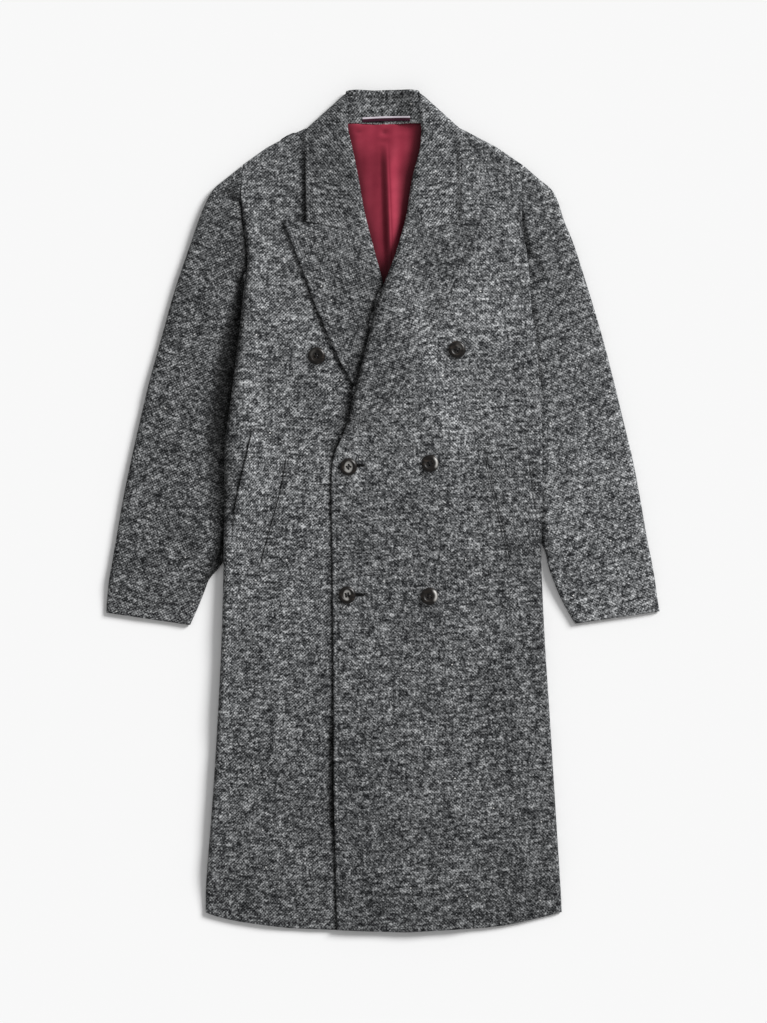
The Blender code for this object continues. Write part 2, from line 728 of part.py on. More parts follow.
def make_stand():
    rows = band(STAND_SIDE, STAND_TURN, STAND_UNDER, (0.3, 1.8, FOLD_RADIUS),
                ((-0.1, -1.34), (0.3, -1.34)), ((1.4, 0.0), (1.2, 0.1)))
    make_band("collar_stand", rows, STAND_TURN, (0.0, 0.33, 0.67, 1.0), stand_skin,
              lambda x, y: (front_out(x, y) + LAYER) / 2.0, FOLD_RADIUS, lambda row, t: 0.0)


# ---- lining, loop, welts, buttons -----------------------------------------------------------
def lining_height(x, y):
    flank = PLEAT_FLANKS[1] if x > PLEAT_X else PLEAT_FLANKS[0]
    pleat = ease(1.0 - abs(x - PLEAT_X) / flank)
    pleat *= ease((y - PLEAT_LOW[0]) / (PLEAT_LOW[1] - PLEAT_LOW[0]))
    pleat *= ease((PLEAT_HIGH[1] - y) / (PLEAT_HIGH[1] - PLEAT_HIGH[0]))
    return WOOL + LAY + neck_rise(x, y) + PLEAT_HEIGHT * pleat


def make_lining():
    grid = []
    for left, right, y in flow(LINING_ROWS, LAPEL_STEP):
        grid.append([(left + (right - left) * t / 12.0, y) for t in range(13)])
    points = [[(x, y, lining_height(x, y)) for x, y in line] for line in grid]
    raised_wall("lining_back", points, LINING, "lining")


def make_loop():
    base = LAYER + WOOL + SEAM
    points = []
    for y in LOOP_ROWS:
        line = []
        for step in range(11):
            t = step / 10.0
            line.append((LOOP_START + LOOP_LENGTH * t, y, base + LOOP_ARCH * math.sin(math.pi * t)))
        points.append(line)
    raised_wall("hanger_loop", points, LOOP_WALL, "loop")


def make_welts():
    for name, table, skin in (("welt_right", RIGHT_WELT, front_right_skin),
                              ("welt_left", LEFT_WELT, front_left_skin)):
        points = []
        for row in flow(table, 30.0):
            line = []
            for step in range(4):
                x, y = mixed(row[:2], row[2:4], step / 3.0)
                line.append((x, y, skin(x, y)[0] + LAY))
            points.append(line)
        raised_wall(name, points, WELT_WALL, "wool")


def make_button(name, x, y, base):
    """A dished four-hole button turned from its profile."""
    radius, high = BUTTON_RADIUS, BUTTON_HEIGHT
    profile = ((0.0, 0.0), (radius * BUTTON_FOOT, 0.0), (radius, high * 0.5), (radius * 0.93, high),
               (radius * 0.74, high * 0.93), (radius * 0.60, high * 0.62), (0.0, high * 0.58))
    form = bmesh.new()
    verts = [form.verts.new((px * MM, 0.0, pz * MM)) for px, pz in profile]
    edges = [form.edges.new(pair) for pair in zip(verts, verts[1:])]
    bmesh.ops.spin(form, geom=verts + edges, cent=(0, 0, 0), axis=(0, 0, 1), dvec=(0, 0, 0),
                   angle=2.0 * math.pi, steps=14, use_merge=True, use_duplicate=False)
    bmesh.ops.remove_doubles(form, verts=form.verts[:], dist=1e-6)
    bmesh.ops.recalc_face_normals(form, faces=form.faces[:])
    mesh = bpy.data.meshes.new(name)
    form.to_mesh(mesh)
    form.free()
    made = add_object(name, mesh, "horn")
    made.location = Vector((x, y, base)) * MM
    holes = bmesh.new()
    for turn in range(4):
        angle = math.pi / 4.0 + turn * math.pi / 2.0
        spot = Vector((math.cos(angle), math.sin(angle), 0.0)) * radius * 0.24
        bmesh.ops.create_cone(holes, cap_ends=True, segments=4, radius1=1.2 * MM, radius2=1.2 * MM,
                              depth=3.0 * high * MM)
        for vert in holes.verts[-8:]:
            vert.co += spot * MM
    cutter_mesh = bpy.data.meshes.new(name + "_holes")
    holes.to_mesh(cutter_mesh)
    holes.free()
    cutter = bpy.data.objects.new(name + "_holes", cutter_mesh)
    bpy.context.scene.collection.objects.link(cutter)
    cutter.location = made.location
    cutter.hide_render = True
    cutter.display_type = "WIRE"
    cut = made.modifiers.new("holes", "BOOLEAN")
    cut.operation = "DIFFERENCE"
    cut.object = cutter


def make_buttons():
    for number, (x, y, front) in enumerate(BUTTONS, 1):
        skin = front_right_skin if front == "right" else front_left_skin
        ring = [(x + BUTTON_RADIUS * BUTTON_FOOT * math.cos(a * math.pi / 4.0),
                 y + BUTTON_RADIUS * BUTTON_FOOT * math.sin(a * math.pi / 4.0)) for a in range(8)]
        base = max(skin(px, py)[0] for px, py in ring + [(x, y)]) + LAY
        make_button("button_" + str(number), x, y, base)


for old in list(bpy.data.objects):
    bpy.data.objects.remove(old, do_unlink=True)
make_back()
make_fronts()
make_sleeves()
make_facings()
make_collar()
make_stand()
make_lining()
make_loop()
make_welts()
make_buttons()
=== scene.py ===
# Double-breasted wool overcoat laid flat on its back: cloth, lining, buttons and stitching.
import math

import bmesh
import bpy
import numpy as np
from mathutils import Matrix, Vector
from mathutils.bvhtree import BVHTree


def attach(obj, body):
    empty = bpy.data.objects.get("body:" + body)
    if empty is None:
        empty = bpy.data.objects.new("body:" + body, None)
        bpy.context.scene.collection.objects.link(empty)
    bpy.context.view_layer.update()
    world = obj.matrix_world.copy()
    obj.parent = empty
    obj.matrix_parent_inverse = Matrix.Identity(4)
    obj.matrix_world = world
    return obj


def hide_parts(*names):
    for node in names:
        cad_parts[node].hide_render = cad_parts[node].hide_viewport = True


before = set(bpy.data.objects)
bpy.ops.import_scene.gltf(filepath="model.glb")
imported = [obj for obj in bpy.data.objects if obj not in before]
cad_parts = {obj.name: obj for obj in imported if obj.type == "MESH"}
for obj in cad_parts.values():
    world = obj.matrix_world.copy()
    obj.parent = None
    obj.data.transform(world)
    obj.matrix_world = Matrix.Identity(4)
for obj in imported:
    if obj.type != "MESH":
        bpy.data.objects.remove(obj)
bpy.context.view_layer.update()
scene = bpy.context.scene
mm = 0.001      # every table below is in millimetres; right and left are the wearer's


def meshOf(name, form):
    mesh = bpy.data.meshes.new(name)
    form.to_mesh(mesh)
    form.free()
    return mesh


def addObject(name, data):
    piece = bpy.data.objects.new(name, data)
    scene.collection.objects.link(piece)
    return piece


studio = {
    "viewHeight": 1483.35,       # what the picture's height covers
    "centre": (0.7, -0.4),
    "lens": 110.0,
    "sensor": 24.0,
    "sight": 60.0,               # metres
    "keyFrom": (38.0, 29.5),     # degrees round from +X and up from the floor
    "keySoftness": 22.0,         # degrees that the lamp spans
    "keyStrength": 4.02,
    "ambient": 0.415,
    "floor": (0.90, 0.90, 0.90),
    "floorHalf": 6.0,            # metres from its middle to its sides
    "floorDrop": 0.3,            # how far it lies under the coat
}


def makeStudio():
    camera = bpy.data.cameras.new("camera")
    camera.lens = studio["lens"]
    camera.sensor_fit = "VERTICAL"
    camera.sensor_height = studio["sensor"]
    camera.clip_end = studio["sight"]
    scene.camera = addObject("camera", camera)
    distance = studio["viewHeight"] * mm * studio["lens"] / studio["sensor"]
    scene.camera.location = (studio["centre"][0] * mm, studio["centre"][1] * mm, distance)

    key = bpy.data.lights.new("key", "SUN")
    key.energy = studio["keyStrength"]
    key.angle = math.radians(studio["keySoftness"])
    turn, up = (math.radians(value) for value in studio["keyFrom"])
    toLamp = Vector((math.cos(turn) * math.cos(up), math.sin(turn) * math.cos(up), math.sin(up)))
    addObject("key", key).rotation_euler = toLamp.to_track_quat("Z", "Y").to_euler()

    scene.world = bpy.data.worlds.new("studio")
    scene.world.use_nodes = True
    sky = scene.world.node_tree.nodes["Background"]
    sky.inputs["Color"].default_value = (1.0, 1.0, 1.0, 1.0)
    sky.inputs["Strength"].default_value = studio["ambient"]
    scene.view_settings.view_transform = "Standard"

    form = bmesh.new()
    bmesh.ops.create_grid(form, x_segments=1, y_segments=1, size=studio["floorHalf"])
    floor = addObject("floor", meshOf("floor", form))
    floor.location.z = -studio["floorDrop"] * mm
    paint = bpy.data.materials.new("paleFloor")
    paint.use_nodes = True
    shader = paint.node_tree.nodes["Principled BSDF"]
    shader.inputs["Base Color"].default_value = (*studio["floor"], 1.0)
    shader.inputs["Roughness"].default_value = 0.9
    shader.inputs["Specular IOR Level"].default_value = 0.0
    floor.data.materials.append(paint)


makeStudio()
print("studio ready")

# outlines, the same as the solids': one row for each section, from the hem or the shoulder on
rightFront = [      # side x, side y, front x, front y, how far it stops short under the roll
    (-257, -581, 84, -607, 0), (-256, -535, 84, -545, 0), (-247, -419, 84, -425, 0),
    (-239.7, -303, 84, -305, 0), (-234, -187, 84, -187, 0), (-231, -71, 84, -71, 0),
    (-230, 30, 84, 30, 0), (-229, 100, 84, 86, 0), (-225.5, 126, 76, 112, 8),
    (-210.5, 240, 31, 237, 8), (-200.5, 332, 2, 330, 8), (-196, 361, -6, 361, 8),
    (-201, 405, -18, 403, 8), (-205, 459, -37, 452, 8), (-203, 502, -56, 480, 0),
    (-168, 527, -72, 500, 0), (-138, 542.5, -83, 519, 0), (-121, 550.5, -92, 532, 0),
    (-112, 554.5, -98, 542, 0)]
leftFront = [
    (259, -581, -67, -607, 0), (257.2, -545, -68, -545, 0), (249.2, -419, -71, -419, 0),
    (242, -303, -71.5, -303, 0), (234.4, -187, -72.3, -187, 0), (229.5, -71, -73.3, -71, 0),
    (231, 2, -74.5, 2, 0), (231, 72, -73.5, 68, 0), (231, 104, -62.5, 101, 0), (229, 136, -49.5, 133, 5),
    (225, 211, -32, 208, 8), (215, 299, -9, 301, 8), (210, 366, 13, 361, 8),
    (202, 412, 29, 412, 8), (201, 472, 39, 457, 8), (203, 501, 56, 480, 0),
    (165, 527, 72, 500, 0), (135, 542.5, 83, 519, 0), (119, 551, 92, 532, 0),
    (110, 555, 97, 542, 0)]
shoulderRow = {"right": 14, "left": 15}      # row of each front at the shoulder point
rightSleeve = [     # outer x, outer y, inner x, inner y, from the shoulder point to the cuff
    (-206, 499, -204.5, 495), (-226, 483, -205.3, 478), (-246, 466, -205.6, 459),
    (-258, 444, -204.8, 438), (-267, 422, -202.8, 410), (-277, 393, -200.2, 386),
    (-287, 364, -198, 364), (-297, 335, -203, 331), (-306, 306, -206, 300),
    (-322, 248, -213, 240), (-338, 190, -221, 182), (-352, 132, -227, 125),
    (-365, 74, -231, 68), (-377, 16, -232, 10), (-387, -42, -234.5, -44),
    (-392, -71, -244, -76), (-397, -100, -253.5, -102), (-400, -129, -265, -132),
    (-401, -147, -279.5, -165)]
leftSleeve = [
    (205.2, 499.4, 203.4, 494), (223, 483.6, 202.9, 478), (244, 466, 202.2, 459),
    (254, 447, 202.1, 438), (262, 422, 203.0, 414), (274, 393, 206.6, 391),
    (284, 364, 212, 364), (293, 335, 216, 332), (302, 306, 219.5, 300),
    (319, 248, 227, 242), (334, 190, 232, 182), (348, 132, 234.5, 125),
    (362, 74, 235, 68), (373, 16, 235, 12), (383, -42, 235.5, -42),
    (389, -71, 238, -73), (394, -100, 247, -101), (398, -129, 260, -131),
    (401, -145, 278, -163)]
armpitRow = 6           # row of both sleeves at the armpit
rolls = {"right": [(-31, 457), (-25.5, 430), (-17.5, 399), (-9.5, 369), (-2.6, 343), (6, 306), (23, 260),
                   (41, 214), (55, 176), (68, 134), (76, 112), (84, 90)],
         "left": [(38, 457), (33, 427), (19, 379), (1, 328), (-12, 292), (-22, 248), (-33, 205),
                  (-44, 161), (-50, 132), (-62, 103), (-71, 82)]}
lapels = {          # roll x, roll y, edge x, edge y
    "right": [
        (-31, 457, -144, 419), (-25.5, 430, -135, 398), (-17.5, 399, -126, 376),
        (-9.5, 369, -118.5, 356), (-2.6, 343, -112, 339), (6, 306, -101, 306), (23, 260, -83, 262),
        (41, 214, -61, 215), (55, 176, -38, 177), (68, 134, 8, 128), (76, 112, 46, 108)],
    "left": [
        (38, 457, 144, 419), (33, 427, 137, 401), (19, 379, 126, 374),
        (1, 328, 107, 326), (-12, 292, 89, 290), (-22, 248, 70, 249),
        (-33, 205, 44, 207), (-44, 161, 14, 161), (-50, 132, -18, 124), (-61, 106, -44, 104)]}
gorges = {"right": [(-31, 457), (-48.3, 431), (-63.2, 408), (-91, 415), (-113, 419), (-144, 419)],
          "left": [(38, 457), (52, 431), (65, 408), (91, 415), (113, 419), (144, 419)]}
leafHalf = 113.0        # from the middle of the neck to the outer edge of a collar leaf
peakEdge = [(144, 419), (leafHalf, 419)]        # a lapel's upper edge beside the collar, on the left
leafEdge = [(111.8, 421), (112, 482), (112.6, 516)]     # the collar leaf's outer edge, on the left
hemLine = [(-258, -581), (-241, -587), (-223, -591.5), (-206, -595), (-171, -600), (-136, -604),
           (-84, -606), (-26, -608.5), (32, -610), (90, -607), (148, -603.5), (177, -600),
           (206, -594), (235, -587), (258, -581)]
welts = {           # outer x, outer y, inner x, inner y
    "right": [(-188.5, 119, -136.6, 85), (-201.5, 64, -147.4, 27), (-213.5, 8, -163.2, -31),
              (-219.5, -50, -178.6, -89)],
    "left": [(204, 118, 145, 89), (211, 64, 157, 34), (218, 8, 171, -26), (222, -50, 184, -85)]}


def nearOf(table):
    return [row[:2] for row in table]


def farOf(table):
    return [row[2:4] for row in table]


def mirrored(line):
    return [(-x, y) for x, y in line]


overEdge = [(-61, 104)] + farOf(leftFront[7::-1])       # the left front's edge, from the lapel down

lay = {
    "body": 12.2,               # upper side of the fronts over the floor
    "hem": 6.6,                 # the same at the hem
    "hemReach": 85.0,           # how far up from there the cloth comes down to it
    "sleeve": 10.6,             # upper side of a sleeve
    "head": (430.0, 150.0),     # where it starts to come down to that, and within what length
    "cuff": 6.6,
    "cuffRise": (-150.0, 60.0),         # where it leaves the cuff's height, and within what length
    "thin": 4.5,                # a sleeve pressed quite flat
    "tuck": 7.0,                # how far a sleeve's inner fold lies in under the body's side
    "leastTuck": 2.0,           # the same where they don't lie side by side
    "beside": (376.0, -68.0, 40.0),     # they do so from here to here, with soft ends
    "sewn": (385.0, 75.0),      # from here up they are sewn together, within what length
    # how far the left front lies over the right one: y, height
    "lap": [(-600, 3.4), (-510, 3.8), (-440, 6.8), (-325, 6.8), (-270, 4.2), (-200, 3.4), (50, 3.4),
            (110, 4.6), (200, 5.4)],
    "lapOver": (12.0, 46.0),    # how far past a covered edge a cover stays level, and then slopes
    "lapel": 3.6,               # how far a lapel lies over its front
    "lapelUnder": (60.0, 46.0, 60.0),   # reach past its edge, lowest y and soft start where it is covered
    "leafLift": (2.6, 0.8),     # how far the collar's corners stand off, right and left
    "neck": 3.3,                # rise of all layers onto the collar's fall behind the neck
    "fall": (531.0, 20.0),      # that fall's lower edge, and how much higher it is at its ends
    "fallSlope": (52.0, 44.0),  # where the rise starts under that edge, and how long it is
    "roll": 2.2,                # lift along a lapel's roll
    "rollReach": (50.0, 60.0),  # how far to each side it goes, and how softly it starts
    "rollStart": {"right": 60.0, "left": 290.0},
    "rollRadius": 6.2,
    "fold": (7.5, 5.4),         # radius of the side folds, right and left
    "sleeveFold": 4.5,
    "edge": 2.6,                # radius of a turned and pressed edge
    "edgeDrop": 1.5,
    "stitchIn": 6.0,            # how far in from a turned edge its seam is stitched
}
# the furrows between each sleeve and the body: y, width, depth, and how dark their painted shade is
furrow = {"right": [(-90, 14, 0.0, 0.2), (-50, 18, 1.2, 0.55), (-27, 24, 3.0, 0.60), (8, 32, 5.6, 0.52),
                    (54, 32, 7.0, 0.66), (100, 36, 7.6, 0.76), (147, 39, 8.0, 0.84), (193, 38, 8.0, 0.86),
                    (240, 36, 7.8, 0.82), (286, 25, 7.2, 0.80), (332, 16, 6.2, 0.74), (364, 13, 5.4, 0.68),
                    (385, 11, 4.4, 0.66), (410, 8, 3.4, 0.5), (455, 7, 1.6, 0.25), (480, 6, 0.0, 0.0)],
          "left": [(-90, 7, 0.0, 0.2), (-50, 9, 2.8, 0.70), (-20, 8, 2.4, 0.6), (8, 7, 1.8, 0.30),
                   (54, 7, 0.9, 0.0), (147, 7, 0.9, 0.0), (193, 7, 1.8, 0.22), (240, 7, 1.8, 0.25),
                   (286, 7, 1.4, 0.12), (332, 7, 1.2, 0.0), (380, 8, 2.0, 0.12), (410, 8, 2.0, 0.12),
                   (432, 7, 1.4, 0.0), (460, 6, 0.0, 0.0)]}
bodyFolds = [       # start x, y, end x, y, half width, height (below zero for a trough)
    (-186, 440, -150, 300, 18, -1.3), (-160, 470, -96, 450, 24, 0.9),
    (-214, 170, -120, 150, 20, -0.8), (-207, 82, -219, 38, 7, -1.2),
    (-190, 345, -208, 30, 19, 6.2), (-225, 463, -203, 441, 6, -1.0), (-205, -80, -150, -330, 26, 1.0),
    (-150, -180, -120, -560, 30, -1.0), (-20, -260, -40, -590, 30, 0.8),
    (152, 509, 184, 430, 13, -1.6), (112, 321, 199, 306, 13, -1.3),
    (126, 161, 170, 164, 9, -1.0), (140, 45, 150, -20, 11, -1.7),
    (126, -13, 146, -66, 9, -1.5), (100, -190, 128, -262, 16, -1.3),
    (84, -310, 92, -356, 14, -1.1), (60, -330, 110, -600, 34, 1.0),
    (190, -160, 215, -560, 24, 0.9), (20, -120, 60, -260, 26, 0.7), (-224, -30, -236, -290, 15, 5.0),
    (-238, -330, -252, -540, 15, 2.6),
    (-110, 330, -70, 250, 20, 0.6), (150, 250, 120, 150, 18, 0.8)]
sleeveFolds = [
    (-228, 465, -205, 444, 6, -1.8), (-205, 444, -200, 410, 5, -1.5),
    (199, 432, 209, 379, 4, -1.6), (209, 379, 228, 350, 5, -2.0), (-280, 330, -232, 255, 16, 1.0),
    (-340, 150, -250, 118, 13, -1.2), (-368, 22, -276, 62, 15, 1.0),
    (-385, -80, -290, -50, 13, -1.0), (-318, 250, -262, 190, 12, -0.8),
    (262, 440, 216, 428, 10, -1.2), (282, 330, 236, 250, 16, 1.0),
    (338, 150, 250, 112, 14, -1.2), (370, 20, 270, 66, 16, 1.0),
    (384, -80, 290, -50, 14, -1.0), (322, 215, 262, 180, 12, -0.8)]
ripples = [         # the cloth's slight unevenness: height, waves along x and along y, start
    (0.34, 0.021, 0.043, 0.3), (0.30, -0.047, 0.018, 1.9), (0.26, 0.058, 0.051, 4.1),
    (0.22, 0.083, -0.034, 2.2), (0.18, -0.029, 0.097, 5.3), (0.14, 0.121, 0.072, 0.9)]


def ease(value):
    t = np.clip(value, 0.0, 1.0)
    return t * t * (3.0 - 2.0 * t)


def dome(distance, radius):     # 0 on an edge, round up to 1 at the radius
    t = np.clip(distance / radius, 0.0, 1.0)
    return np.sqrt(np.maximum(0.0, 1.0 - (1.0 - t) ** 2))


def hump(distance, width):
    return np.exp(-(distance / width) ** 2)


def lineAt(line, place, key=1, value=0):
    ordered = sorted(line, key=lambda point: point[key])
    return np.interp(place, [point[key] for point in ordered], [point[value] for point in ordered])


def gapTo(line, x, y):
    best = np.full(np.shape(x), 1e9)
    for (ax, ay), (bx, by) in zip(line, line[1:]):
        dx, dy = bx - ax, by - ay
        t = np.clip(((x - ax) * dx + (y - ay) * dy) / max(1e-9, dx * dx + dy * dy), 0.0, 1.0)
        best = np.minimum(best, np.hypot(x - ax - t * dx, y - ay - t * dy))
    return best


def gapToPair(lines, x, y):     # to the line of the side that a point lies on
    return np.where(x < 0, gapTo(lines["right"], x, y), gapTo(lines["left"], x, y))


def foldHeight(folds, x, y):
    height = 0.0
    for ax, ay, bx, by, half, rise in folds:
        dx, dy = bx - ax, by - ay
        length = math.hypot(dx, dy)
        along = ((x - ax) * dx + (y - ay) * dy) / length ** 2
        off = ((x - ax) * dy - (y - ay) * dx) / length
        ends = ease((along + 0.25) / 0.35) * ease((1.25 - along) / 0.35)    # past its ends it fades
        height = height + rise * ends * hump(off, half)
    return height


def ripple(x, y):
    return sum(size * np.sin(kx * x + ky * y + start) for size, kx, ky, start in ripples)


def flowRows(rows, step, corners=()):       # rows on smooth curves through a table's rows
    flow = []
    last = len(rows) - 1
    for index in range(last):
        start, end = np.array(rows[index], float), np.array(rows[index + 1], float)
        leave = reach = end - start
        if index > 0 and index not in corners:
            leave = (end - np.array(rows[index - 1], float)) / 2.0
        if index + 1 < last and index + 1 not in corners:
            reach = (np.array(rows[index + 2], float) - start) / 2.0
        count = max(1, round(math.hypot(*(end - start)[:2]) / step))
        for part in range(count):
            t = part / count
            flow.append((2 * t ** 3 - 3 * t ** 2 + 1) * start + (t ** 3 - 2 * t ** 2 + t) * leave
                        + (3 * t ** 2 - 2 * t ** 3) * end + (t ** 3 - t ** 2) * reach)
    flow.append(np.array(rows[last], float))
    return flow


def rowsAt(table, step, near, far, corners=()):     # the same, evenly spaced but for its two ends
    dense = np.array(flowRows(table, 1.5, corners))
    middle = (dense[:, :2] + dense[:, 2:4]) / 2.0
    run = np.concatenate([[0.0], np.cumsum(np.hypot(*np.diff(middle, axis=0).T))])
    whole = run[-1]
    count = max(1, round((whole - near[-1] - far[-1]) / step))
    stops = list(near) + [near[-1] + (whole - near[-1] - far[-1]) * part / count
                          for part in range(1, count)] + [whole - gap for gap in reversed(far)]
    return [tuple(np.interp(stop, run, column) for column in dense.T) for stop in stops]


outlineStep = 12.0
shoulderRows = {hand: range(row, row + 4) for hand, row in shoulderRow.items()}
sideLine, shoulderLine = {}, {}
for hand, table in (("right", rightFront), ("left", leftFront)):
    corner = table[shoulderRow[hand]][1]
    outline = nearOf(flowRows(table, outlineStep, shoulderRows[hand]))
    sideLine[hand] = [tuple(point) for point in outline if point[1] <= corner + 0.01]
    shoulderLine[hand] = [tuple(point) for point in outline if point[1] >= corner - 0.01]


def neckRise(x, y):
    low, spread = lay["fall"]
    start, slope = lay["fallSlope"]
    return lay["neck"] * ease((y - low - spread * (x / leafHalf) ** 2 + start) / slope)


def rollLift(hand, x, y):
    across, along = lay["rollReach"]
    beside = ease(1.0 - np.abs(x - lineAt(rolls[hand], y)) / across)
    return lay["roll"] * beside * ease((y - lay["rollStart"][hand]) / along)


def bodyTop(x, y):
    hem = lineAt(hemLine, x, key=0, value=1)
    drop = (lay["body"] - lay["hem"]) * (1.0 - ease((y - hem) / lay["hemReach"]))
    return lay["body"] - drop + neckRise(x, y) + foldHeight(bodyFolds, x, y) + ripple(x, y)


def overFront(x, y):        # 1 where the left front lies on the right one
    level, slope = lay["lapOver"]
    return ease((lineAt(rolls["right"], y) + level + slope - x) / slope)


def overLapel(x, y):        # 1 where it lies on the right lapel too
    reach, low, soft = lay["lapelUnder"]
    edge = lineAt(farOf(lapels["right"]), y)
    return ease((x - edge + reach) / lay["lapOver"][1]) * overFront(x, y) * ease((y - low) / soft)


def topOf(hand, x, y):      # upper side of a front
    if hand == "right":
        return bodyTop(x, y) + rollLift("right", x, y)
    lap = np.interp(y, *zip(*lay["lap"])) * overFront(x, y) + (lay["lapel"] + 0.5) * overLapel(x, y)
    below = rollLift("right", x, y) * overFront(x, y)
    return bodyTop(x, y) + lap + np.maximum(below, rollLift("left", x, y))


def frontTop(x, y):
    return np.where(x < 0.0, topOf("right", x, y), topOf("left", x, y))


def foldedShare(y):         # 1 where a side is folded, 0 where it is sewn to its neighbour
    return 1.0 - ease((y - lay["sewn"][0]) / lay["sewn"][1])


def foldedSkin(top, low, sideGap, edgeGap, share, side, radius):    # one side of a flattened tube
    middle = (top + low) / 2.0
    half = (top - low) / 2.0 * side
    full = half * dome(edgeGap, lay["fold"][0])
    bySide = half * (1.0 - share * (1.0 - dome(sideGap, radius)))
    if side > 0:
        bySide = bySide - 0.15 * (1.0 - share) * (1.0 - dome(sideGap, lay["edge"]))
    return middle + np.where(np.abs(full) < np.abs(bySide), full, bySide)


def besideSleeve(y):
    high, low, soft = lay["beside"]
    return ease((high - y) / soft) * ease((y - low) / soft)


def bodySkin(top, x, y, side):
    sideGap = gapToPair(sideLine, x, y)
    low = neckRise(x, y) + 4.6 * (1.0 - ease((sideGap - 2.0) / 18.0)) * besideSleeve(y)
    return foldedSkin(top, low, sideGap, gapToPair(shoulderLine, x, y), foldedShare(y), side,
                      np.where(x < 0, *lay["fold"]))


def furrowAt(x, y, value):
    return np.where(x < 0, lineAt(furrow["right"], y, 0, value), lineAt(furrow["left"], y, 0, value))


def sleeveTop(x, y, inner):
    fall = (lay["body"] - lay["sleeve"]) * ease((lay["head"][0] - y) / lay["head"][1])
    cuff = (lay["sleeve"] - lay["cuff"]) * (1.0 - ease((y - lay["cuffRise"][0]) / lay["cuffRise"][1]))
    top = lay["body"] - fall - cuff + foldHeight(sleeveFolds, x, y) + 0.8 * ripple(x + 37.0, y)
    gap = np.maximum(0.0, gapTo(inner, x, y) - lay["tuck"] * besideSleeve(y))
    width, depth = furrowAt(x, y, 1), furrowAt(x, y, 2)
    low = top - depth * (1.0 - ease((gap / width - 0.3) / 0.7))
    under = (top - lay["thin"]) * (1.0 - ease(gapTo(inner, x, y) / (lay["tuck"] + 1.5)))
    return np.maximum(lay["thin"], low - under * besideSleeve(y))


def sleeveSkin(x, y, side, outer, inner):
    gap = gapTo(inner, x, y)
    armhole = 0.12 * (1.0 - ease((gap - 2.0) / 6.0)) * ease((y - 380.0) / 40.0)
    top = sleeveTop(x, y, inner) - armhole
    return foldedSkin(top, 0.0, gap, gapTo(outer, x, y), foldedShare(y), side, lay["sleeveFold"])


def tucked(hand, xs, ys, low):      # a sleeve's inner side, pushed in under the body's above a height
    inward = 1.0 if hand == "right" else -1.0
    reach = lay["leastTuck"] + (lay["tuck"] - lay["leastTuck"]) * besideSleeve(ys[:, -1])
    push = np.maximum(0.0, inward * (lineAt(sideLine[hand], ys[:, -1]) - xs[:, -1]) + reach)
    push = push * ease((ys[:, -1] - low) / lay["beside"][2])
    share = (xs - xs[:, :1]) / (xs[:, -1:] - xs[:, :1])
    return xs + inward * push[:, None] * share


def planOf(rows, spread, bends=()):     # points seen from above, a row of them for each row
    xs, ys = [], []
    for row in rows:
        length = math.hypot(row[2] - row[0], row[3] - row[1])
        tuck = row[4] if len(row) > 4 else 0.0
        places = np.array(spread(length - tuck)) * (1.0 - tuck / length)
        x = row[0] + (row[2] - row[0]) * places
        y = row[1] + (row[3] - row[1]) * places
        for bend, level, reach in bends:
            away = abs((row[1] + row[3]) / 2.0 - level)
            y = y + bend(x) * max(0.0, 1.0 - away / reach)
        xs.append(x)
        ys.append(y)
    return np.array(xs), np.array(ys)


def spreadOf(near, far, middle):        # columns at fixed gaps from both ends, even ones between
    def spread(length):
        shrink = min(1.0, length / (1.6 * (near[-1] + far[-1]) + 1e-6))
        start = [value * shrink / length for value in near]
        end = [1.0 - value * shrink / length for value in reversed(far)]
        gap = (end[0] - start[-1]) / middle
        return start + [start[-1] + gap * part for part in range(1, middle)] + end
    return spread


def bendOf(curve, start, end):          # how far a curve lies over the straight line between two points
    def bend(x):
        slope = (end[1] - start[1]) / (end[0] - start[0])
        return lineAt(curve, x, key=0, value=1) - (start[1] + slope * (x - start[0]))
    return bend


foldIn = [0.0, 0.12, 0.45, 1.0, 1.8, 2.8, 4.0, 5.4, 7.0, 9.5]       # columns in from a fold
edgeIn = [0.0, 0.15, 0.5, 1.0, 1.7, 2.6, 4.4]                       # from a turned edge
stitchedIn = [0.0, 0.15, 0.5, 1.0, 1.7, 2.6, 3.6, 4.7, 5.4, 6.0, 6.6, 7.3, 8.6]     # a stitched one
rollIn = [0.0, 0.1, 0.4, 0.9, 1.7, 2.8, 4.2, 6.0, 8.4]              # from a roll
seamIn = [0.0, 0.3, 0.9, 1.7, 2.6, 3.6, 4.7, 5.4, 6.0, 6.6, 7.3, 8.6]               # and from a seam


def turnedEdge(gap):
    return lay["edgeDrop"] * (1.0 - dome(gap, lay["edge"]))


def seamEdge(gap):
    return 0.55 * (1.0 - dome(gap, 1.4))


def stitchGroove(gap):      # a dent along the stitches, and a soft swell between them and the edge
    return 0.55 * hump(gap - lay["stitchIn"], 0.9) - 0.18 * hump(gap - 3.4, 1.5)


def edgesOf(xs, ys, *sides):
    pick = {"far": (slice(None), -1), "near": (slice(None), 0), "first": (0, slice(None)),
            "last": (-1, slice(None))}
    return [list(zip(xs[pick[side]], ys[pick[side]])) for side in sides]


# painted shade: each dim darkens the colour beside a line, or over a whole field
def shadeOf(xs, ys, paintedShade):      # a dim is a line, how far beside it and how much, or a whole field
    shade = np.ones(xs.shape)
    for dim in paintedShade:
        if not isinstance(dim, np.ndarray):
            line, width, strength = dim
            dim = strength * hump(gapTo(line, xs, ys), width)
        shade = shade * (1.0 - dim)
    return shade


def coordinatesOf(mesh):
    flat = np.zeros(len(mesh.vertices) * 3, np.float32)
    mesh.vertices.foreach_get("co", flat)
    return flat.reshape(-1, 3)


def setShade(mesh, values):
    layer = mesh.attributes.new("shade", "FLOAT", "POINT")
    layer.data.foreach_set("value", values.astype(np.float32))


def stepsOf(*fields):
    return np.sqrt(sum(np.diff(field, axis=1) ** 2 for field in fields))


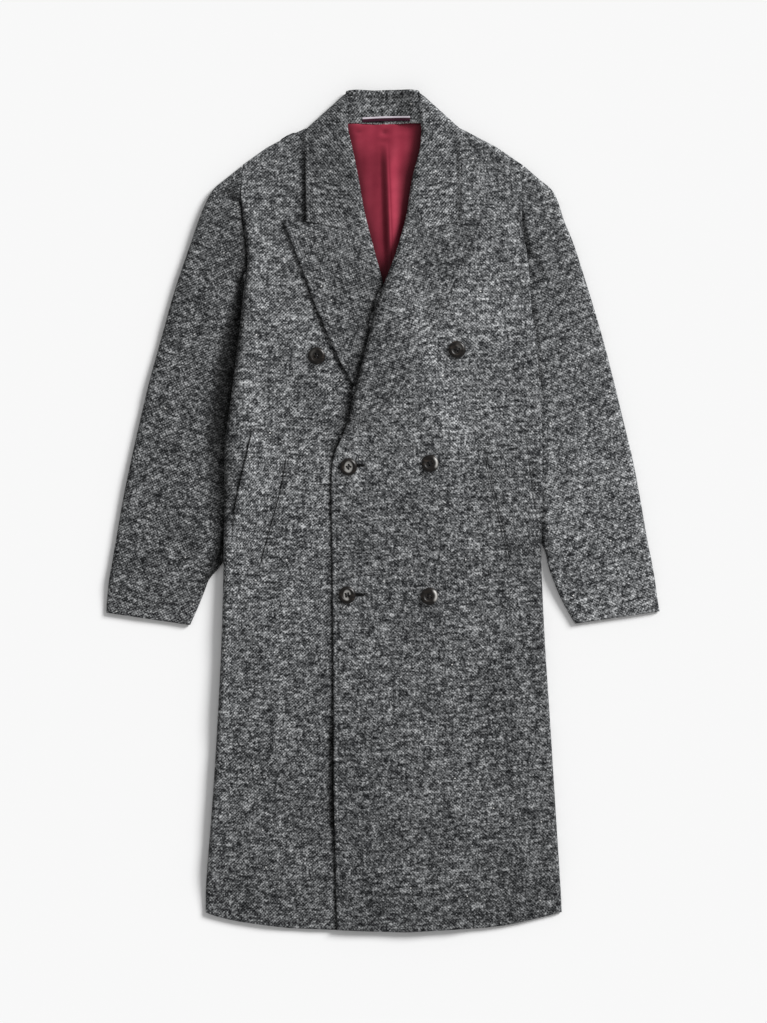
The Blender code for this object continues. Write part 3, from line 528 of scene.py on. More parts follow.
def clothOf(name, xs, ys, zs, grain, up=True, spots=None, shade=None):
    rows, columns = xs.shape
    form = bmesh.new()
    bmesh.ops.create_grid(form, x_segments=columns - 1, y_segments=rows - 1, size=0.5)
    mesh = meshOf(name, form)
    grid = coordinatesOf(mesh)
    column = np.rint((grid[:, 0] + 0.5) * (columns - 1)).astype(int)
    row = np.rint((grid[:, 1] + 0.5) * (rows - 1)).astype(int)
    points = np.stack([xs[row, column], ys[row, column], zs[row, column]], axis=1) * mm
    mesh.vertices.foreach_set("co", points.astype(np.float32).ravel())
    # the cloth's own measure: along each row it is rolled out from the middle column
    rolledOut = np.concatenate([np.zeros((rows, 1)), np.cumsum(stepsOf(xs, ys, zs), axis=1)], axis=1)
    pin = (columns - 1) // 2
    sign = 1.0 if xs[0, -1] > xs[0, 0] else -1.0
    across, along = xs[:, pin:pin + 1] + sign * (rolledOut - rolledOut[:, pin:pin + 1]), ys
    if spots:
        across, along = spots
    elif np.mean(xs) > 20.0:
        across = 1000.0 - across        # pieces of a pair are cut face to face
    turn = math.radians(grain)
    u = (across * math.cos(turn) + along * math.sin(turn)) * mm
    v = (-across * math.sin(turn) + along * math.cos(turn)) * mm
    corner = np.zeros(len(mesh.loops), np.int32)
    mesh.loops.foreach_get("vertex_index", corner)
    places = np.stack([u[row, column], v[row, column]], axis=1)[corner]
    mesh.uv_layers.new(name="cloth").data.foreach_set("uv", places.astype(np.float32).ravel())
    setShade(mesh, np.ones(len(mesh.vertices)) if shade is None else shade[row, column])
    mesh.update()
    if (sum(face.normal.z * face.area for face in mesh.polygons) > 0) != up:
        mesh.flip_normals()
    mesh.shade_smooth()
    return addObject(name, mesh)


def thicken(piece, wall, bevel):
    solid = piece.modifiers.new("wall", "SOLIDIFY")
    solid.thickness = wall * mm
    solid.offset = -1.0
    if bevel:
        rounding = piece.modifiers.new("edge", "BEVEL")
        rounding.width = bevel * mm
        rounding.segments = 2
        rounding.limit_method = "ANGLE"
        rounding.angle_limit = math.radians(62.0)


def settle(piece, cloth, slot, *nodes):
    piece.data.materials.append(cloth)
    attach(piece, "root")
    if nodes:
        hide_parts(*nodes)


def areaOf(xs, ys):
    first, far, last, near = edgesOf(xs, ys, "first", "far", "last", "near")
    x, y = np.array(first + far[1:] + last[-2::-1] + near[-2:0:-1]).T
    return abs(np.sum(x * np.roll(y, -1) - y * np.roll(x, -1))) / 2e6


def declare(xs, ys):
    round(float(areaOf(xs, ys)), 5)


class Shades:       # a material's nodes
    def __init__(self, name, finish):
        self.material = bpy.data.materials.new(name)
        self.material.use_nodes = True
        self.tree = self.material.node_tree
        self.shader = self.tree.nodes["Principled BSDF"]
        for socket, value in finish.items():
            self.shader.inputs[socket].default_value = value

    def feed(self, socket, value):
        if isinstance(value, bpy.types.NodeSocket):
            self.tree.links.new(value, socket)
        else:
            socket.default_value = value

    def node(self, kind, *values, **settings):
        node = self.tree.nodes.new("ShaderNode" + kind)
        for key, value in settings.items():
            setattr(node, key, value)
        for socket, value in zip(node.inputs, values):
            self.feed(socket, value)
        return node

    def sum(self, operation, *values):
        return self.node("Math", *values, operation=operation).outputs[0]

    def vector(self, operation, *values):
        return self.node("VectorMath", *values, operation=operation).outputs[0]

    def centred(self, value):
        return self.sum("SUBTRACT", value, 0.5)

    def total(self, *terms):        # of values, each with its share
        total = None
        for value, share in terms:
            part = self.sum("MULTIPLY", value, share)
            total = part if total is None else self.sum("ADD", total, part)
        return total

    def split(self, vector):
        return self.node("SeparateXYZ", vector).outputs

    def noise(self, vector, scale, detail=2.0, rough=0.5, colour=False):
        node = self.node("TexNoise", vector)
        for socket, value in (("Scale", scale), ("Detail", detail), ("Roughness", rough)):
            node.inputs[socket].default_value = value
        return node.outputs["Color" if colour else "Fac"]

    def ramp(self, value, stops):
        node = self.node("ValToRGB", value)
        bar = node.color_ramp
        while len(bar.elements) < len(stops):
            bar.elements.new(0.5)
        for element, (place, colour) in zip(bar.elements, stops):
            element.position = place
            element.color = (*colour, 1.0)
        return node.outputs["Color"]

    def mix(self, factor, low, high, colour=False):
        node = self.node("Mix", factor, data_type="RGBA" if colour else "FLOAT")
        first = 6 if colour else 2      # where this kind's two values stand among the sockets
        self.feed(node.inputs[first], low)
        self.feed(node.inputs[first + 1], high)
        return node.outputs[2 if colour else 0]

    def shade(self):
        return self.node("Attribute", attribute_name="shade").outputs["Fac"]

    def cloth(self):                # millimetres on the cloth
        return self.vector("MULTIPLY", self.node("UVMap", uv_map="cloth").outputs["UV"], (1000.0,) * 3)

    def object(self):
        return self.vector("MULTIPLY", self.node("TexCoord").outputs["Object"], (1000.0,) * 3)

    def colour(self, value):
        self.feed(self.shader.inputs["Base Color"], value)

    # painted light and shade: the colour is multiplied by the piece's shade attribute
    def shaded(self, value):
        shade = self.shade()
        self.colour(self.vector("MULTIPLY", value, self.node("CombineXYZ", shade, shade, shade).outputs[0]))

    def bump(self, height, distance, strength):
        node = self.node("Bump")
        node.inputs["Distance"].default_value = distance
        node.inputs["Strength"].default_value = strength
        self.feed(node.inputs["Height"], height)
        self.feed(self.shader.inputs["Normal"], node.outputs["Normal"])


tweed = {
    "yarn": 2.33,           # width of a pair of yarns, which weave over and under together
    "stray": (0.20, 2.0, 0.6),      # how the fuzzy yarns stray: fineness, detail, roughness
    "wobble": 2.6,          # and how far
    "diagonal": (0.60, 0.36),       # share of the diagonal that rises, and of the one that falls
    "fuzz": (0.62, 2.0, 0.7),
    "nap": 1.25,
    "cell": 0.22,
    # how fine each patchiness is, its detail and its share
    "mottle": [(0.30, 1.0, 1.10), (0.17, 1.0, 0.60), (0.10, 2.0, 0.85), (0.045, 2.0, 0.35),
               ((0.05, 0.22, 1.0), 2.0, 0.75), (0.010, 1.0, 0.2)],
    "slubs": (330.0, 60.0, 0.90, 1.0),      # they show more further down: from y, to y, from, to
    "tones": [(0.0, (0.006, 0.0065, 0.0075)), (0.25, (0.0182, 0.0192, 0.0212)),
              (0.50, (0.0886, 0.0918, 0.0948)), (0.75, (0.272, 0.278, 0.284)),
              (1.0, (0.602, 0.612, 0.618))],
    "specks": (0.010, 0.010, (0.72, 0.71, 0.69, 1.0)),      # how dense, how wide, colour
    "relief": (0.0007, 0.6),
    "finish": {"Roughness": 0.95, "Specular IOR Level": 0.12, "Sheen Weight": 0.04,
               "Sheen Roughness": 0.5},
    # how much the weave shows on each piece, and how much its patches do
    "pieces": {"right": (0.165, 1.0), "left": (0.115, 1.0), "sleeveRight": (0.195, 1.0),
               "sleeveLeft": (0.125, 1.0), "lapelRight": (0.145, 1.0), "lapelLeft": (0.125, 1.05),
               "collar": (0.185, 0.95)},
}


def makeWool(name, weave, mottle):
    m = Shades(name, tweed["finish"])
    place = m.cloth()
    stray = m.vector("SUBTRACT", m.noise(place, *tweed["stray"], colour=True), (0.5, 0.5, 0.5))
    stray = m.vector("MULTIPLY", stray, (tweed["wobble"], tweed["wobble"], 0.0))
    u, v = m.split(m.vector("MULTIPLY", m.vector("ADD", place, stray), (1.0 / tweed["yarn"],) * 3))[:2]
    rising = m.sum("COSINE", m.sum("MULTIPLY", m.sum("SUBTRACT", u, v), math.pi))
    falling = m.sum("COSINE", m.sum("MULTIPLY", m.sum("ADD", u, v), math.pi))
    over = m.total(*zip((rising, falling), tweed["diagonal"]))
    column, row = (m.sum("FLOOR", m.sum("ADD", value, 0.5)) for value in (u, v))
    dice = m.node("TexWhiteNoise", m.node("CombineXYZ", column, row, 3.0).outputs[0],
                  noise_dimensions="3D")
    nap = m.noise(place, *tweed["fuzz"])
    patches = []
    for size, detail, share in tweed["mottle"]:
        if isinstance(size, tuple):
            patch = m.noise(m.vector("MULTIPLY", place, size), 1.0, detail, 0.55)
        else:
            patch = m.noise(place, size, detail, 0.55)
        patches.append((m.centred(patch), share * mottle))
    slubs = m.node("MapRange", m.split(place)[1], *tweed["slubs"], clamp=True).outputs[0]
    tone = m.total((over, weave), (m.centred(nap), tweed["nap"]),
                   (m.centred(dice.outputs["Value"]), tweed["cell"]), (m.total(*patches), slubs))
    colour = m.ramp(m.sum("ADD", tone, 0.5), tweed["tones"])
    density, width, pale = tweed["specks"]
    speck = m.node("TexVoronoi", feature="F1", voronoi_dimensions="2D")
    m.feed(speck.inputs["Vector"], place)
    speck.inputs["Scale"].default_value = density
    m.shaded(m.mix(m.sum("LESS_THAN", speck.outputs["Distance"], width), colour, pale, colour=True))
    # a pair of yarns shows as two small hills across the way it runs, with a nap over them
    ridges = (m.sum("PINGPONG", m.sum("MULTIPLY", value, 2.0), 0.5) for value in (u, v))
    ridge = m.mix(m.sum("GREATER_THAN", over, 0.0), *ridges)
    m.bump(m.total((ridge, 0.5), (nap, 1.1), (over, 0.25)), *tweed["relief"])
    return m.material


satinLook = {
    "fine": (2.2, 0.5, 1.0),        # its fine threads, close across and long downwards
    "broad": 0.05,
    "tones": [(0.25, (0.172, 0.0140, 0.0295)), (0.75, (0.242, 0.0250, 0.0450))],
    "finish": {"Roughness": 0.46, "Specular IOR Level": 0.36, "Specular Tint": (1.0, 0.45, 0.5, 1.0),
               "Sheen Weight": 0.10, "Sheen Tint": (0.9, 0.35, 0.4, 1.0)},
}


def makeSatin(name):
    m = Shades(name, satinLook["finish"])
    place = m.cloth()
    fine = m.noise(m.vector("MULTIPLY", place, satinLook["fine"]), 1.0)
    m.shaded(m.ramp(m.total((fine, 0.35), (m.noise(place, satinLook["broad"]), 0.65)),
                    satinLook["tones"]))
    m.bump(fine, 0.0002, 0.25)
    return m.material


hornLook = {
    "streaks": (0.10, 0.28, 0.3),
    "tones": [(0.30, (0.003, 0.0026, 0.0023)), (0.55, (0.009, 0.0068, 0.0055)),
              (0.75, (0.045, 0.034, 0.026))],
    "pale": (0.42, 0.41, 0.39, 1.0),        # colour of its painted highlights
    "finish": {"Roughness": 0.34, "Specular IOR Level": 0.30},
}


def makeHorn(name):
    m = Shades(name, hornLook["finish"])
    place = m.object()
    streaks = m.noise(m.vector("MULTIPLY", place, hornLook["streaks"]), 1.0, 4.0, 0.6)
    # painted highlights: the shade attribute mixes the pale colour into the horn
    m.colour(m.mix(m.shade(), m.ramp(streaks, hornLook["tones"]), hornLook["pale"], colour=True))
    m.bump(m.noise(place, 0.6), 0.0002, 0.15)
    return m.material


threads = {         # the darkest and the lightest of each thread and tape
    "greyThread": ((0.030, 0.031, 0.034), (0.10, 0.102, 0.108)),
    "blackThread": ((0.0015, 0.0015, 0.0015), (0.005, 0.005, 0.005)),
    "darkThread": ((0.008, 0.008, 0.009), (0.030, 0.029, 0.030)),
    "paleThread": ((0.16, 0.155, 0.14), (0.36, 0.35, 0.32)),
    "loopTape": ((0.018, 0.005, 0.010), (0.060, 0.015, 0.030)),
    "loopEdge": ((0.45, 0.41, 0.45), (0.68, 0.61, 0.67)),
}


def makeThread(name, low, high):
    m = Shades(name, {"Roughness": 0.9, "Specular IOR Level": 0.08})
    place = m.object()
    m.colour(m.ramp(m.noise(place, 2.4, 2.0, 0.6), [(0.3, low), (0.7, high)]))
    m.bump(m.noise(place, 4.0, 1.0), 0.0002, 0.4)
    return m.material


wool = {piece: makeWool("wool" + piece[:1].upper() + piece[1:], *look)
        for piece, look in tweed["pieces"].items()}
satin = makeSatin("liningSatin")
horn = makeHorn("buttonHorn")
thread = {name: makeThread(name, *tones) for name, tones in threads.items()}
print("materials ready")

armCrease = {"right": [(-228, 465), (-213, 455), (-203, 441), (-200, 412), (-197, 375)],
             "left": [(199, 432), (204, 405), (209, 379), (228, 350)]}
front = {
    "step": 4.0,            # between its rows
    "columns": 84,          # between its pressed edges
    "grain": -3.0,          # how far its weave is turned
    "wall": {"right": 2.8, "left": 3.4},
    "hemBend": 160.0,       # how far up the hem's curve fades out
    "tone": {               # painted light, brighter higher up: y and tone, from the hem up
        "right": [(-600, 0.68), (-380, 0.77), (-50, 0.98), (230, 1.00), (330, 1.02), (480, 1.0),
                  (560, 0.98)],
        "left": [(-600, 0.68), (-380, 0.77), (-50, 0.84), (60, 0.95), (230, 1.12), (330, 1.17),
                 (480, 1.08), (560, 1.0)]},
    "paintedShade": {               # painted shade beside lines: line, how far, how much
        "right": [(farOf(lapels["right"])[:-1], 4.0, 0.70), (mirrored(peakEdge), 2.2, 0.25),
                  (nearOf(welts["right"])[:-1], 3.4, 0.80), (farOf(welts["right"]), 3.0, 0.35),
                  (mirrored(leafEdge), 4.2, 0.72), (mirrored(leafEdge[:2]), 9.0, 0.35),
                  (mirrored(leafEdge[:1] * 2), 8.0, 0.4), (overEdge, 2.9, 0.9),
                  ([(-71, -318), (-71, -455)], 7.5, 0.95), (rolls["left"][6:], 6.5, 0.7),
                  (rolls["left"][3:], 15.0, 0.4), (armCrease["right"], 4.2, 0.6),
                  ([(-224, 62), (-226, -8)], 10.0, 0.42)],
        "left": [(farOf(lapels["left"])[:-1], 4.0, 0.16), (peakEdge, 2.2, 0.25),
                 (nearOf(welts["left"])[:-1], 3.4, 0.5), (farOf(welts["left"]), 3.0, 0.2),
                 (leafEdge, 2.6, 0.40), (armCrease["left"], 5.4, 0.36)]},
}


def toneAt(tone, y):
    return np.interp(y, *zip(*tone))


def makeFront(hand, table):
    hem = table[0]
    bend = (bendOf(hemLine, hem[:2], hem[2:4]), (hem[1] + hem[3]) / 2.0, front["hemBend"])
    xs, ys = planOf(rowsAt(table, front["step"], edgeIn, [0.0], shoulderRows[hand]),
                    spreadOf(foldIn, stitchedIn, front["columns"]), (bend,))
    zs = bodySkin(topOf(hand, xs, ys), xs, ys, 1)
    frontEdge, bottom = edgesOf(xs, ys, "far", "first")
    gap = gapTo(frontEdge, xs, ys)
    zs = zs - turnedEdge(gap) - stitchGroove(gap) - 0.8 * turnedEdge(gapTo(bottom, xs, ys))
    # painted shade along the body's side where a sleeve lies beside it
    gap = gapTo(sideLine[hand], xs, ys)
    if hand == "right":
        side = 0.5 * hump(gap, 7.5) * besideSleeve(ys)
    else:
        side = furrowAt(xs, ys, 3) * hump(gap, 3.0)
    # painted light from the tone table, times painted shade
    shade = toneAt(front["tone"][hand], ys) * shadeOf(xs, ys, front["paintedShade"][hand] + [side])
    piece = clothOf("front" + hand.title() + "Cloth", xs, ys, zs, front["grain"], shade=shade)
    thicken(piece, front["wall"][hand], 0.22)
    settle(piece, wool[hand], "wool", "front_" + hand)
    declare(xs, ys)


back = {
    "step": 9.0,
    "columns": 60,
    "wall": 2.4,
    "neck": [(-60, 561), (0, 563), (60, 561)],      # its upper edge between the shoulders
}


def makeBack():
    leftRows = leftFront[:9] + leftFront[10:]       # the rows that the right front has too
    table = [right[:2] + left[:2] for right, left in zip(rightFront, leftRows)]
    hem, top = table[0], table[-1]
    neck = [top[:2]] + back["neck"] + [top[2:4]]
    bends = ((bendOf(hemLine, hem[:2], hem[2:4]), hem[1], front["hemBend"]),
             (bendOf(neck, top[:2], top[2:4]), (top[1] + top[3]) / 2.0, 30.0))
    xs, ys = planOf(flowRows(table, back["step"], shoulderRows["right"]),
                    spreadOf(foldIn, foldIn, back["columns"]), bends)
    zs = bodySkin(frontTop(xs, ys), xs, ys, -1)
    piece = clothOf("backCloth", xs, ys, zs, 0.0, up=False)
    thicken(piece, back["wall"], 0.6)
    settle(piece, wool["right"], "wool", "back")
    declare(xs, ys)


makeBack()
makeFront("right", rightFront)
makeFront("left", leftFront)
print("body ready")

sleeve = {
    "step": 4.0,
    "columns": 32,
    "grain": -18.0,
    "wall": 2.0,
    # painted light: the left sleeve, nearer the lamp, is lit more brightly than the right one
    "tone": {"right": [(-150, 0.69), (150, 0.70), (300, 0.72), (480, 0.72)],
             "left": [(-150, 1.12), (120, 1.10), (320, 0.94), (480, 0.92)]},
    # painted shade along each arm's crease
    "creaseShade": {"right": 0.6, "left": 0.36},
    "furrow": {"right": 1.0, "left": 0.8},          # how much of a furrow's width gets painted shade
    # y where each layer leaves the body's side
    "leaves": {"right": {"Top": -68.0, "Under": -102.0}, "left": {"Top": -68.0, "Under": -68.0}},
    # painted shade: how far in from the right one's inner edge it is dark, down to which y, and how much
    "inner": {"Top": (10.0, -135.0, 0.80), "Under": (40.0, -150.0, 0.62)},
}


def makeSleeve(hand, table):
    name = "sleeve" + hand.title()
    plain, ys = planOf(rowsAt(table, sleeve["step"], [0.0], edgeIn, (armpitRow,)),
                       spreadOf(foldIn, foldIn, sleeve["columns"]))
    beside = [point for point in sideLine[hand] if -90 < point[1] < 470]
    for layer, side in (("Top", 1), ("Under", -1)):
        xs = tucked(hand, plain, ys, sleeve["leaves"][hand][layer])
        outer, inner, cuff = edgesOf(xs, ys, "near", "far", "last")
        zs = sleeveSkin(xs, ys, side, outer, inner)
        if side > 0:
            zs = zs - turnedEdge(gapTo(cuff, xs, ys))
        # painted shade: in the furrow beside the body, along the arm's crease and, on the right sleeve,
        # inside its inner edge
        reach = furrowAt(xs, ys, 1) * sleeve["furrow"][hand]
        shadow = 1.0 - ease((gapTo(beside, xs, ys) / reach - 0.5) / 0.6)
        paintedShade = [(armCrease[hand], 5.0, sleeve["creaseShade"][hand]), furrowAt(xs, ys, 3) * shadow]
        if hand == "right":
            reach, low, depth = sleeve["inner"][layer]
            shadow = hump(gapTo(inner, xs, ys), reach) * ease((12.0 - ys) / 30.0)
            paintedShade.append(depth * shadow * ease((ys - low) / 50.0))
        shade = toneAt(sleeve["tone"][hand], ys) * shadeOf(xs, ys, paintedShade)
        piece = clothOf(name + layer, xs, ys, zs, sleeve["grain"], up=side > 0, shade=shade)
        thicken(piece, sleeve["wall"], 0.22)
        settle(piece, wool[name], "wool", "sleeve_" + hand + "_" + layer.lower())
        declare(xs, ys)


makeSleeve("right", rightSleeve)
makeSleeve("left", leftSleeve)
print("sleeves ready")

lapel = {
    "step": 4.0,
    "columns": 22,
    "grain": -25.0,
    "wall": 3.2,
    "gorgeBend": 110.0,             # how far down the gorge's curve fades out
    "thin": (102.0, 58.0, 0.16),    # it is flatter below this y, within this length, down to this share
    "start": (104.0, 40.0),         # its pressed edge starts here, within this length
    "curl": (1.0, 22.0),            # how far the right one's edge stands off, and how wide that is
    "tone": {"right": [(100, 0.86), (460, 0.86)], "left": [(100, 0.87), (460, 0.86)]},
    # painted shade beside the gorge, under the left roll and beside the left front's edge
    "paintedShade": {
        "right": [(gorges["right"], 1.4, 0.14), (rolls["left"], 5.6, 0.75),
                  (rolls["left"][2:], 17.0, 0.42), (overEdge[:2], 6.6, 0.6)],
        "left": [(rolls["left"][2:], 7.5, 0.45)]},
}


def overTurn(top, gap, rise):       # a turned piece over what it lies on, from its roll on
    return top - lay["edge"] + (rise + lay["edge"]) * dome(gap, lay["rollRadius"])


def makeLapel(hand):
    table, gorge = lapels[hand], gorges[hand]
    first = table[0]
    bend = (bendOf(gorge, first[:2], first[2:4]), (first[1] + first[3]) / 2.0, lapel["gorgeBend"])
    xs, ys = planOf(rowsAt(table, lapel["step"], seamIn, edgeIn),
                    spreadOf(rollIn, stitchedIn, lapel["columns"]), (bend,))
    low, soft, share = lapel["thin"]
    rise = lay["lapel"] * (share + (1.0 - share) * ease((ys - low) / soft))
    zs = overTurn(topOf(hand, xs, ys), gapTo(rolls[hand], xs, ys), rise)
    far = edgesOf(xs, ys, "far")[0]
    for edge in (far[:-2], peakEdge if hand == "left" else mirrored(peakEdge)):
        gap = gapTo(edge, xs, ys)
        zs = zs - (turnedEdge(gap) + stitchGroove(gap)) * ease((ys - lapel["start"][0]) / lapel["start"][1])
    if hand == "right":
        height, width = lapel["curl"]
        zs = zs - 0.5 * seamEdge(gapTo(gorge, xs, ys)) + height * (1.0 - ease(gapTo(far, xs, ys) / width))
    name = "lapel" + hand.title()
    shade = toneAt(lapel["tone"][hand], ys) * shadeOf(xs, ys, lapel["paintedShade"][hand])
    piece = clothOf(name, xs, ys, zs, lapel["grain"], shade=shade)
    thicken(piece, lapel["wall"], 0.5)
    settle(piece, wool[name], "wool", "facing_" + hand)
    declare(xs, ys)


makeLapel("right")
makeLapel("left")
print("lapels ready")

collar = {
    # the right leaf up to its turn over the shoulder: roll x, roll y, edge x, edge y
    "side": [(-38, 457, -111.8, 419), (-42, 486, -111.8, 446), (-48, 520, -112.0, 482),
             (-54, 556, -112.6, 516)],
    "turn": (-50, 609.8, -115, 551),
    "under": [(-24, 609.8, -52, 535), (0, 609.8, 0, 531), (24, 609.8, 52, 535)],    # the fall
    "slants": ((-0.1, -1.34, 0.0, -1.34), (1.5, 0.0, 1.2, -0.3)),   # its rows above and below the turn
    "shift": (7.0, 3.5),            # how far its roll lies to the left side, right and left of it
    "wall": 3.0,
    "gorgeBend": 110.0,
    "corner": (34.0, 70.0),         # how wide and how long its lifted corners are
    "rim": (3.0, 5.0),              # height where it comes down to the shoulders, right and left
    "tone": (0.90, 0.00176),        # painted light: brightness in the middle, and how it grows to the left side, nearer the lamp
    # painted shade beside the gorge and along the left leaf's edge
    "paintedShade": [(gorges["right"], 1.4, 0.12),
             ([(110.3, 421), (110.3, 470), (109.0, 516), (105.5, 552)], 2.4, 0.62)],
}
stand = {
    "side": [(-49, 481, -54, 484), (-55, 512, -72, 507), (-61, 546, -87, 530)],
    "turn": (-57, 595, -99, 557.5),
    "under": [(-40, 604.8, -55, 561.6), (0, 606.2, 0, 560.2), (40, 604.8, 56, 561.6)],
    "slants": ((-0.1, -1.34, 0.3, -1.34), (1.45, 0.93, 1.2, 0.1)),
    "wall": 2.6,
    "tone": [(560, 0.82), (610, 0.82)],
}
turnSteps = [0.12, 0.45, 1.0, 1.9, 3.0, 4.5, 6.2, 8.0, 10.0]        # rows beside a turn


def rollShiftAt(xs, ys):
    right = collar["shift"][0] * ease((600.0 - ys) / 90.0)
    left = collar["shift"][1] * hump(ys - 532.0, 26.0)
    return np.where(xs < 0, right, left)


rollLine = nearOf(collar["side"]) + [collar["turn"][:2]]
collarRoll = {hand: [(x + float(rollShiftAt(x, y)), y) for x, y in line]
              for hand, line in (("right", rollLine), ("left", mirrored(rollLine)))}


def flipped(row):
    return (-row[0], row[1], -row[2], row[3])


def bandRows(band):     # each row with 1 over the turn, 0 on it and -1 under it, round from right to left
    turn = band["turn"]
    over, under = ([tuple(start + slant * step for start, slant in zip(turn, slants))
                    for step in turnSteps] for slants in band["slants"])
    half = [(row, 1) for row in rowsAt(band["side"], 4.0, seamIn, [0.0]) + over[::-1]]
    half += [(turn, 0)] + [(row, -1) for row in under]
    middle = flowRows([under[-1]] + band["under"] + [flipped(under[-1])], 7.0)[1:-1]
    return half + [(tuple(row), -1) for row in middle] + [(flipped(row), layer)
                                                          for row, layer in reversed(half)]


def neckLevel(x, y):
    high = 4.0 + 4.5 * (x > 0) + 5.0 * ease((y - 568.0) / 22.0)
    return 8.2 + high * ease((np.abs(x) - 10.0) / 42.0)


def collarHeight(x, y, layer):
    over = overTurn(frontTop(x, y), gapToPair(collarRoll, x, y), lay["lapel"])
    wide, long = collar["corner"]
    corner = (1.0 - ease((leafHalf - np.abs(x)) / wide)) * ease((545.0 - y) / long)
    over = over + np.where(x < 0, *lay["leafLift"]) * corner
    rim = neckLevel(x, y) + 0.8
    rim = rim + (np.where(x < 0, *collar["rim"]) - rim) * ease((np.abs(x) - 45.0) / 8.0)
    return np.where(layer >= 0, over, rim * (1.0 - ease((collar["turn"][1] - y - 4.0) / 16.0)))


def collarMiddle(x, y):
    return (frontTop(x, y) + lay["lapel"]) * np.where(x < 0, 0.14, 0.5)


def standHeight(x, y, layer):
    return np.where(layer >= 0, frontTop(x, y), neckLevel(x, y))


def standMiddle(x, y):
    return (frontTop(x, y) + neckLevel(x, y)) / 2.0


def gorgeBend(row, x):
    top = collar["side"][0]
    away = (row[1] + row[3]) / 2.0 - (top[1] + top[3]) / 2.0
    hand, side = ("right", -1.0) if row[0] < 0 else ("left", 1.0)
    start = gorges[hand][0][0] - float(rollShiftAt(-side * top[0], top[1]))
    line = bendOf([(start, top[1])] + gorges[hand][1:], (start, top[1]), (-side * top[2], top[3]))
    return line(x) * max(0.0, 1.0 - away / collar["gorgeBend"]) + 0.6 * max(0.0, 1.0 - away / 40.0)


def makeBand(name, band, spread, skin, middle, node):
    isCollar = node == "collar"
    rows = bandRows(band)
    xs, ys = [], []
    for row, layer in rows:
        places = np.array(spread(math.hypot(row[2] - row[0], row[3] - row[1])))
        x = row[0] + (row[2] - row[0]) * places
        y = row[1] + (row[3] - row[1]) * places
        xs.append(x + (rollShiftAt(x, y) * (1.0 - places) ** 3 if isCollar and layer >= 0 else 0.0))
        ys.append(y + gorgeBend(row, x) if isCollar and layer > 0 else y)
    xs, ys = np.array(xs), np.array(ys)
    if isCollar:        # its roll behind the neck dips where it was pressed
        dips = 2.0 * hump(np.abs(xs) - 51.0, 6.0) + 0.9 * hump(xs + 14.0, 13.0)
        ys = ys - dips * ease((ys - 592.0) / 14.0)
    layers = np.array([layer for row, layer in rows])[:, None] + 0.0 * xs
    turn = [band["turn"][:2], band["turn"][2:4]]
    gap = np.where(layers == 0, 0.0, gapToPair({"right": turn, "left": mirrored(turn)}, xs, ys))
    mid = middle(xs, ys)
    zs = mid + (skin(xs, ys, layers) - mid) * dome(gap, turnSteps[-1])
    shade = None
    if isCollar:
        outer = [(x, y) for x, y, layer in zip(xs[:, -1], ys[:, -1], layers[:, 0]) if layer >= 0]
        half = len(outer) // 2
        for line in (outer[:half], outer[half:]):
            fall = gapTo(line, xs, ys)
            zs = zs - np.where(layers > 0, turnedEdge(fall) + stitchGroove(fall), 0.0)
        for line in edgesOf(xs, ys, "first", "last"):
            zs = zs - np.where((layers > 0) & (xs < 0), 0.5 * seamEdge(gapTo(line, xs, ys)), 0.0)
        # painted light across the collar, times painted shade
        low, slope = band["tone"]
        shade = (low + slope * xs) * shadeOf(xs, ys, band["paintedShade"])
    else:
        shade = toneAt(band["tone"], ys)
    # the weave goes on evenly down the steep sides of the turns
    level = stepsOf(xs.T, ys.T).T
    extra = stepsOf(xs.T, ys.T, zs.T).T - level
    turnRow = int(np.argmin(np.abs(layers[:, 0])))
    along = ys.copy()
    along[1:turnRow + 1] += np.cumsum(extra[:turnRow], axis=0)
    along[-turnRow - 1:-1] += np.cumsum(extra[::-1][:turnRow], axis=0)[::-1]
    mirror = np.where((layers >= 0) & (xs < 0), -1.0, 1.0)
    piece = clothOf(name, xs, ys, zs, 7.0, spots=(mirror * xs, along), shade=shade)
    thicken(piece, band["wall"], 0.5)
    settle(piece, wool["collar"], "wool", node)
    rolledOut = stepsOf(xs.T, ys.T, zs.T)[0].sum()
    width = stepsOf(xs, ys).sum(axis=1)


makeBand("collarCloth", collar, spreadOf(rollIn, stitchedIn, 14), collarHeight, collarMiddle, "collar")
makeBand("standCloth", stand, spreadOf([0.0, 1.2, 3.0], [0.0, 1.2, 3.0], 8), standHeight, standMiddle,
         "collar_stand")
print("collar ready")

lining = {
    "rows": [(-18, 312, 22, 312), (-34, 345, 40, 345), (-48, 385, 52, 385), (-58, 430, 60, 430),
             (-66, 490, 66, 490), (-66, 530, 66, 530), (-60, 566, 60, 566)],
    "columns": 140,
    "height": 4.6,
    "wall": 0.5,
    "crest": (3.8, 556, 12.0, 340),     # x, y of the pleat's folded edge at its top and low end
    "rise": 6.2,
    "steep": 10.5,                      # width of its steep left flank
    "slope": 24.0,                      # and of the flank that lies to the right
    # x, y, half width, half height, how high, and how dark its painted shade is
    "dimples": [(-35, 550, 8, 5, -1.4, 0.35), (2, 549, 6, 3.5, -1.8, 0.35), (2, 541, 12, 3, 0.8, 0),
                (-26, 541, 20, 4, -0.4, 0), (24, 545, 14, 4, 0.5, 0), (2, 534, 7, 4, -0.8, 0),
                (42, 552, 9, 7, -0.8, 0)],
    "paintedSheen": 0.90,                      # painted highlight: how much brighter the flank to the right is
    "paintedNeckLight": 0.34,                       # painted light on the cloth below the neck
    "dip": 3.2,                         # how much lower its seam lies at the middle of the neck
    # painted shade beside both rolls
    "paintedShade": [(rolls["right"][::-1] + collarRoll["right"][1:], 5.5, 0.40),
             (rolls["right"][::-1] + collarRoll["right"][1:], 17.0, 0.20),
             (rolls["left"][::-1] + collarRoll["left"][1:], 7.0, 0.55),
             (rolls["left"][::-1] + collarRoll["left"][1:], 16.0, 0.25)],
    "pleatShade": [(4.2, 3.4, 0.34), (1.2, 1.3, 0.25)],      # painted shade left of the crest: how far, width, how dark
}


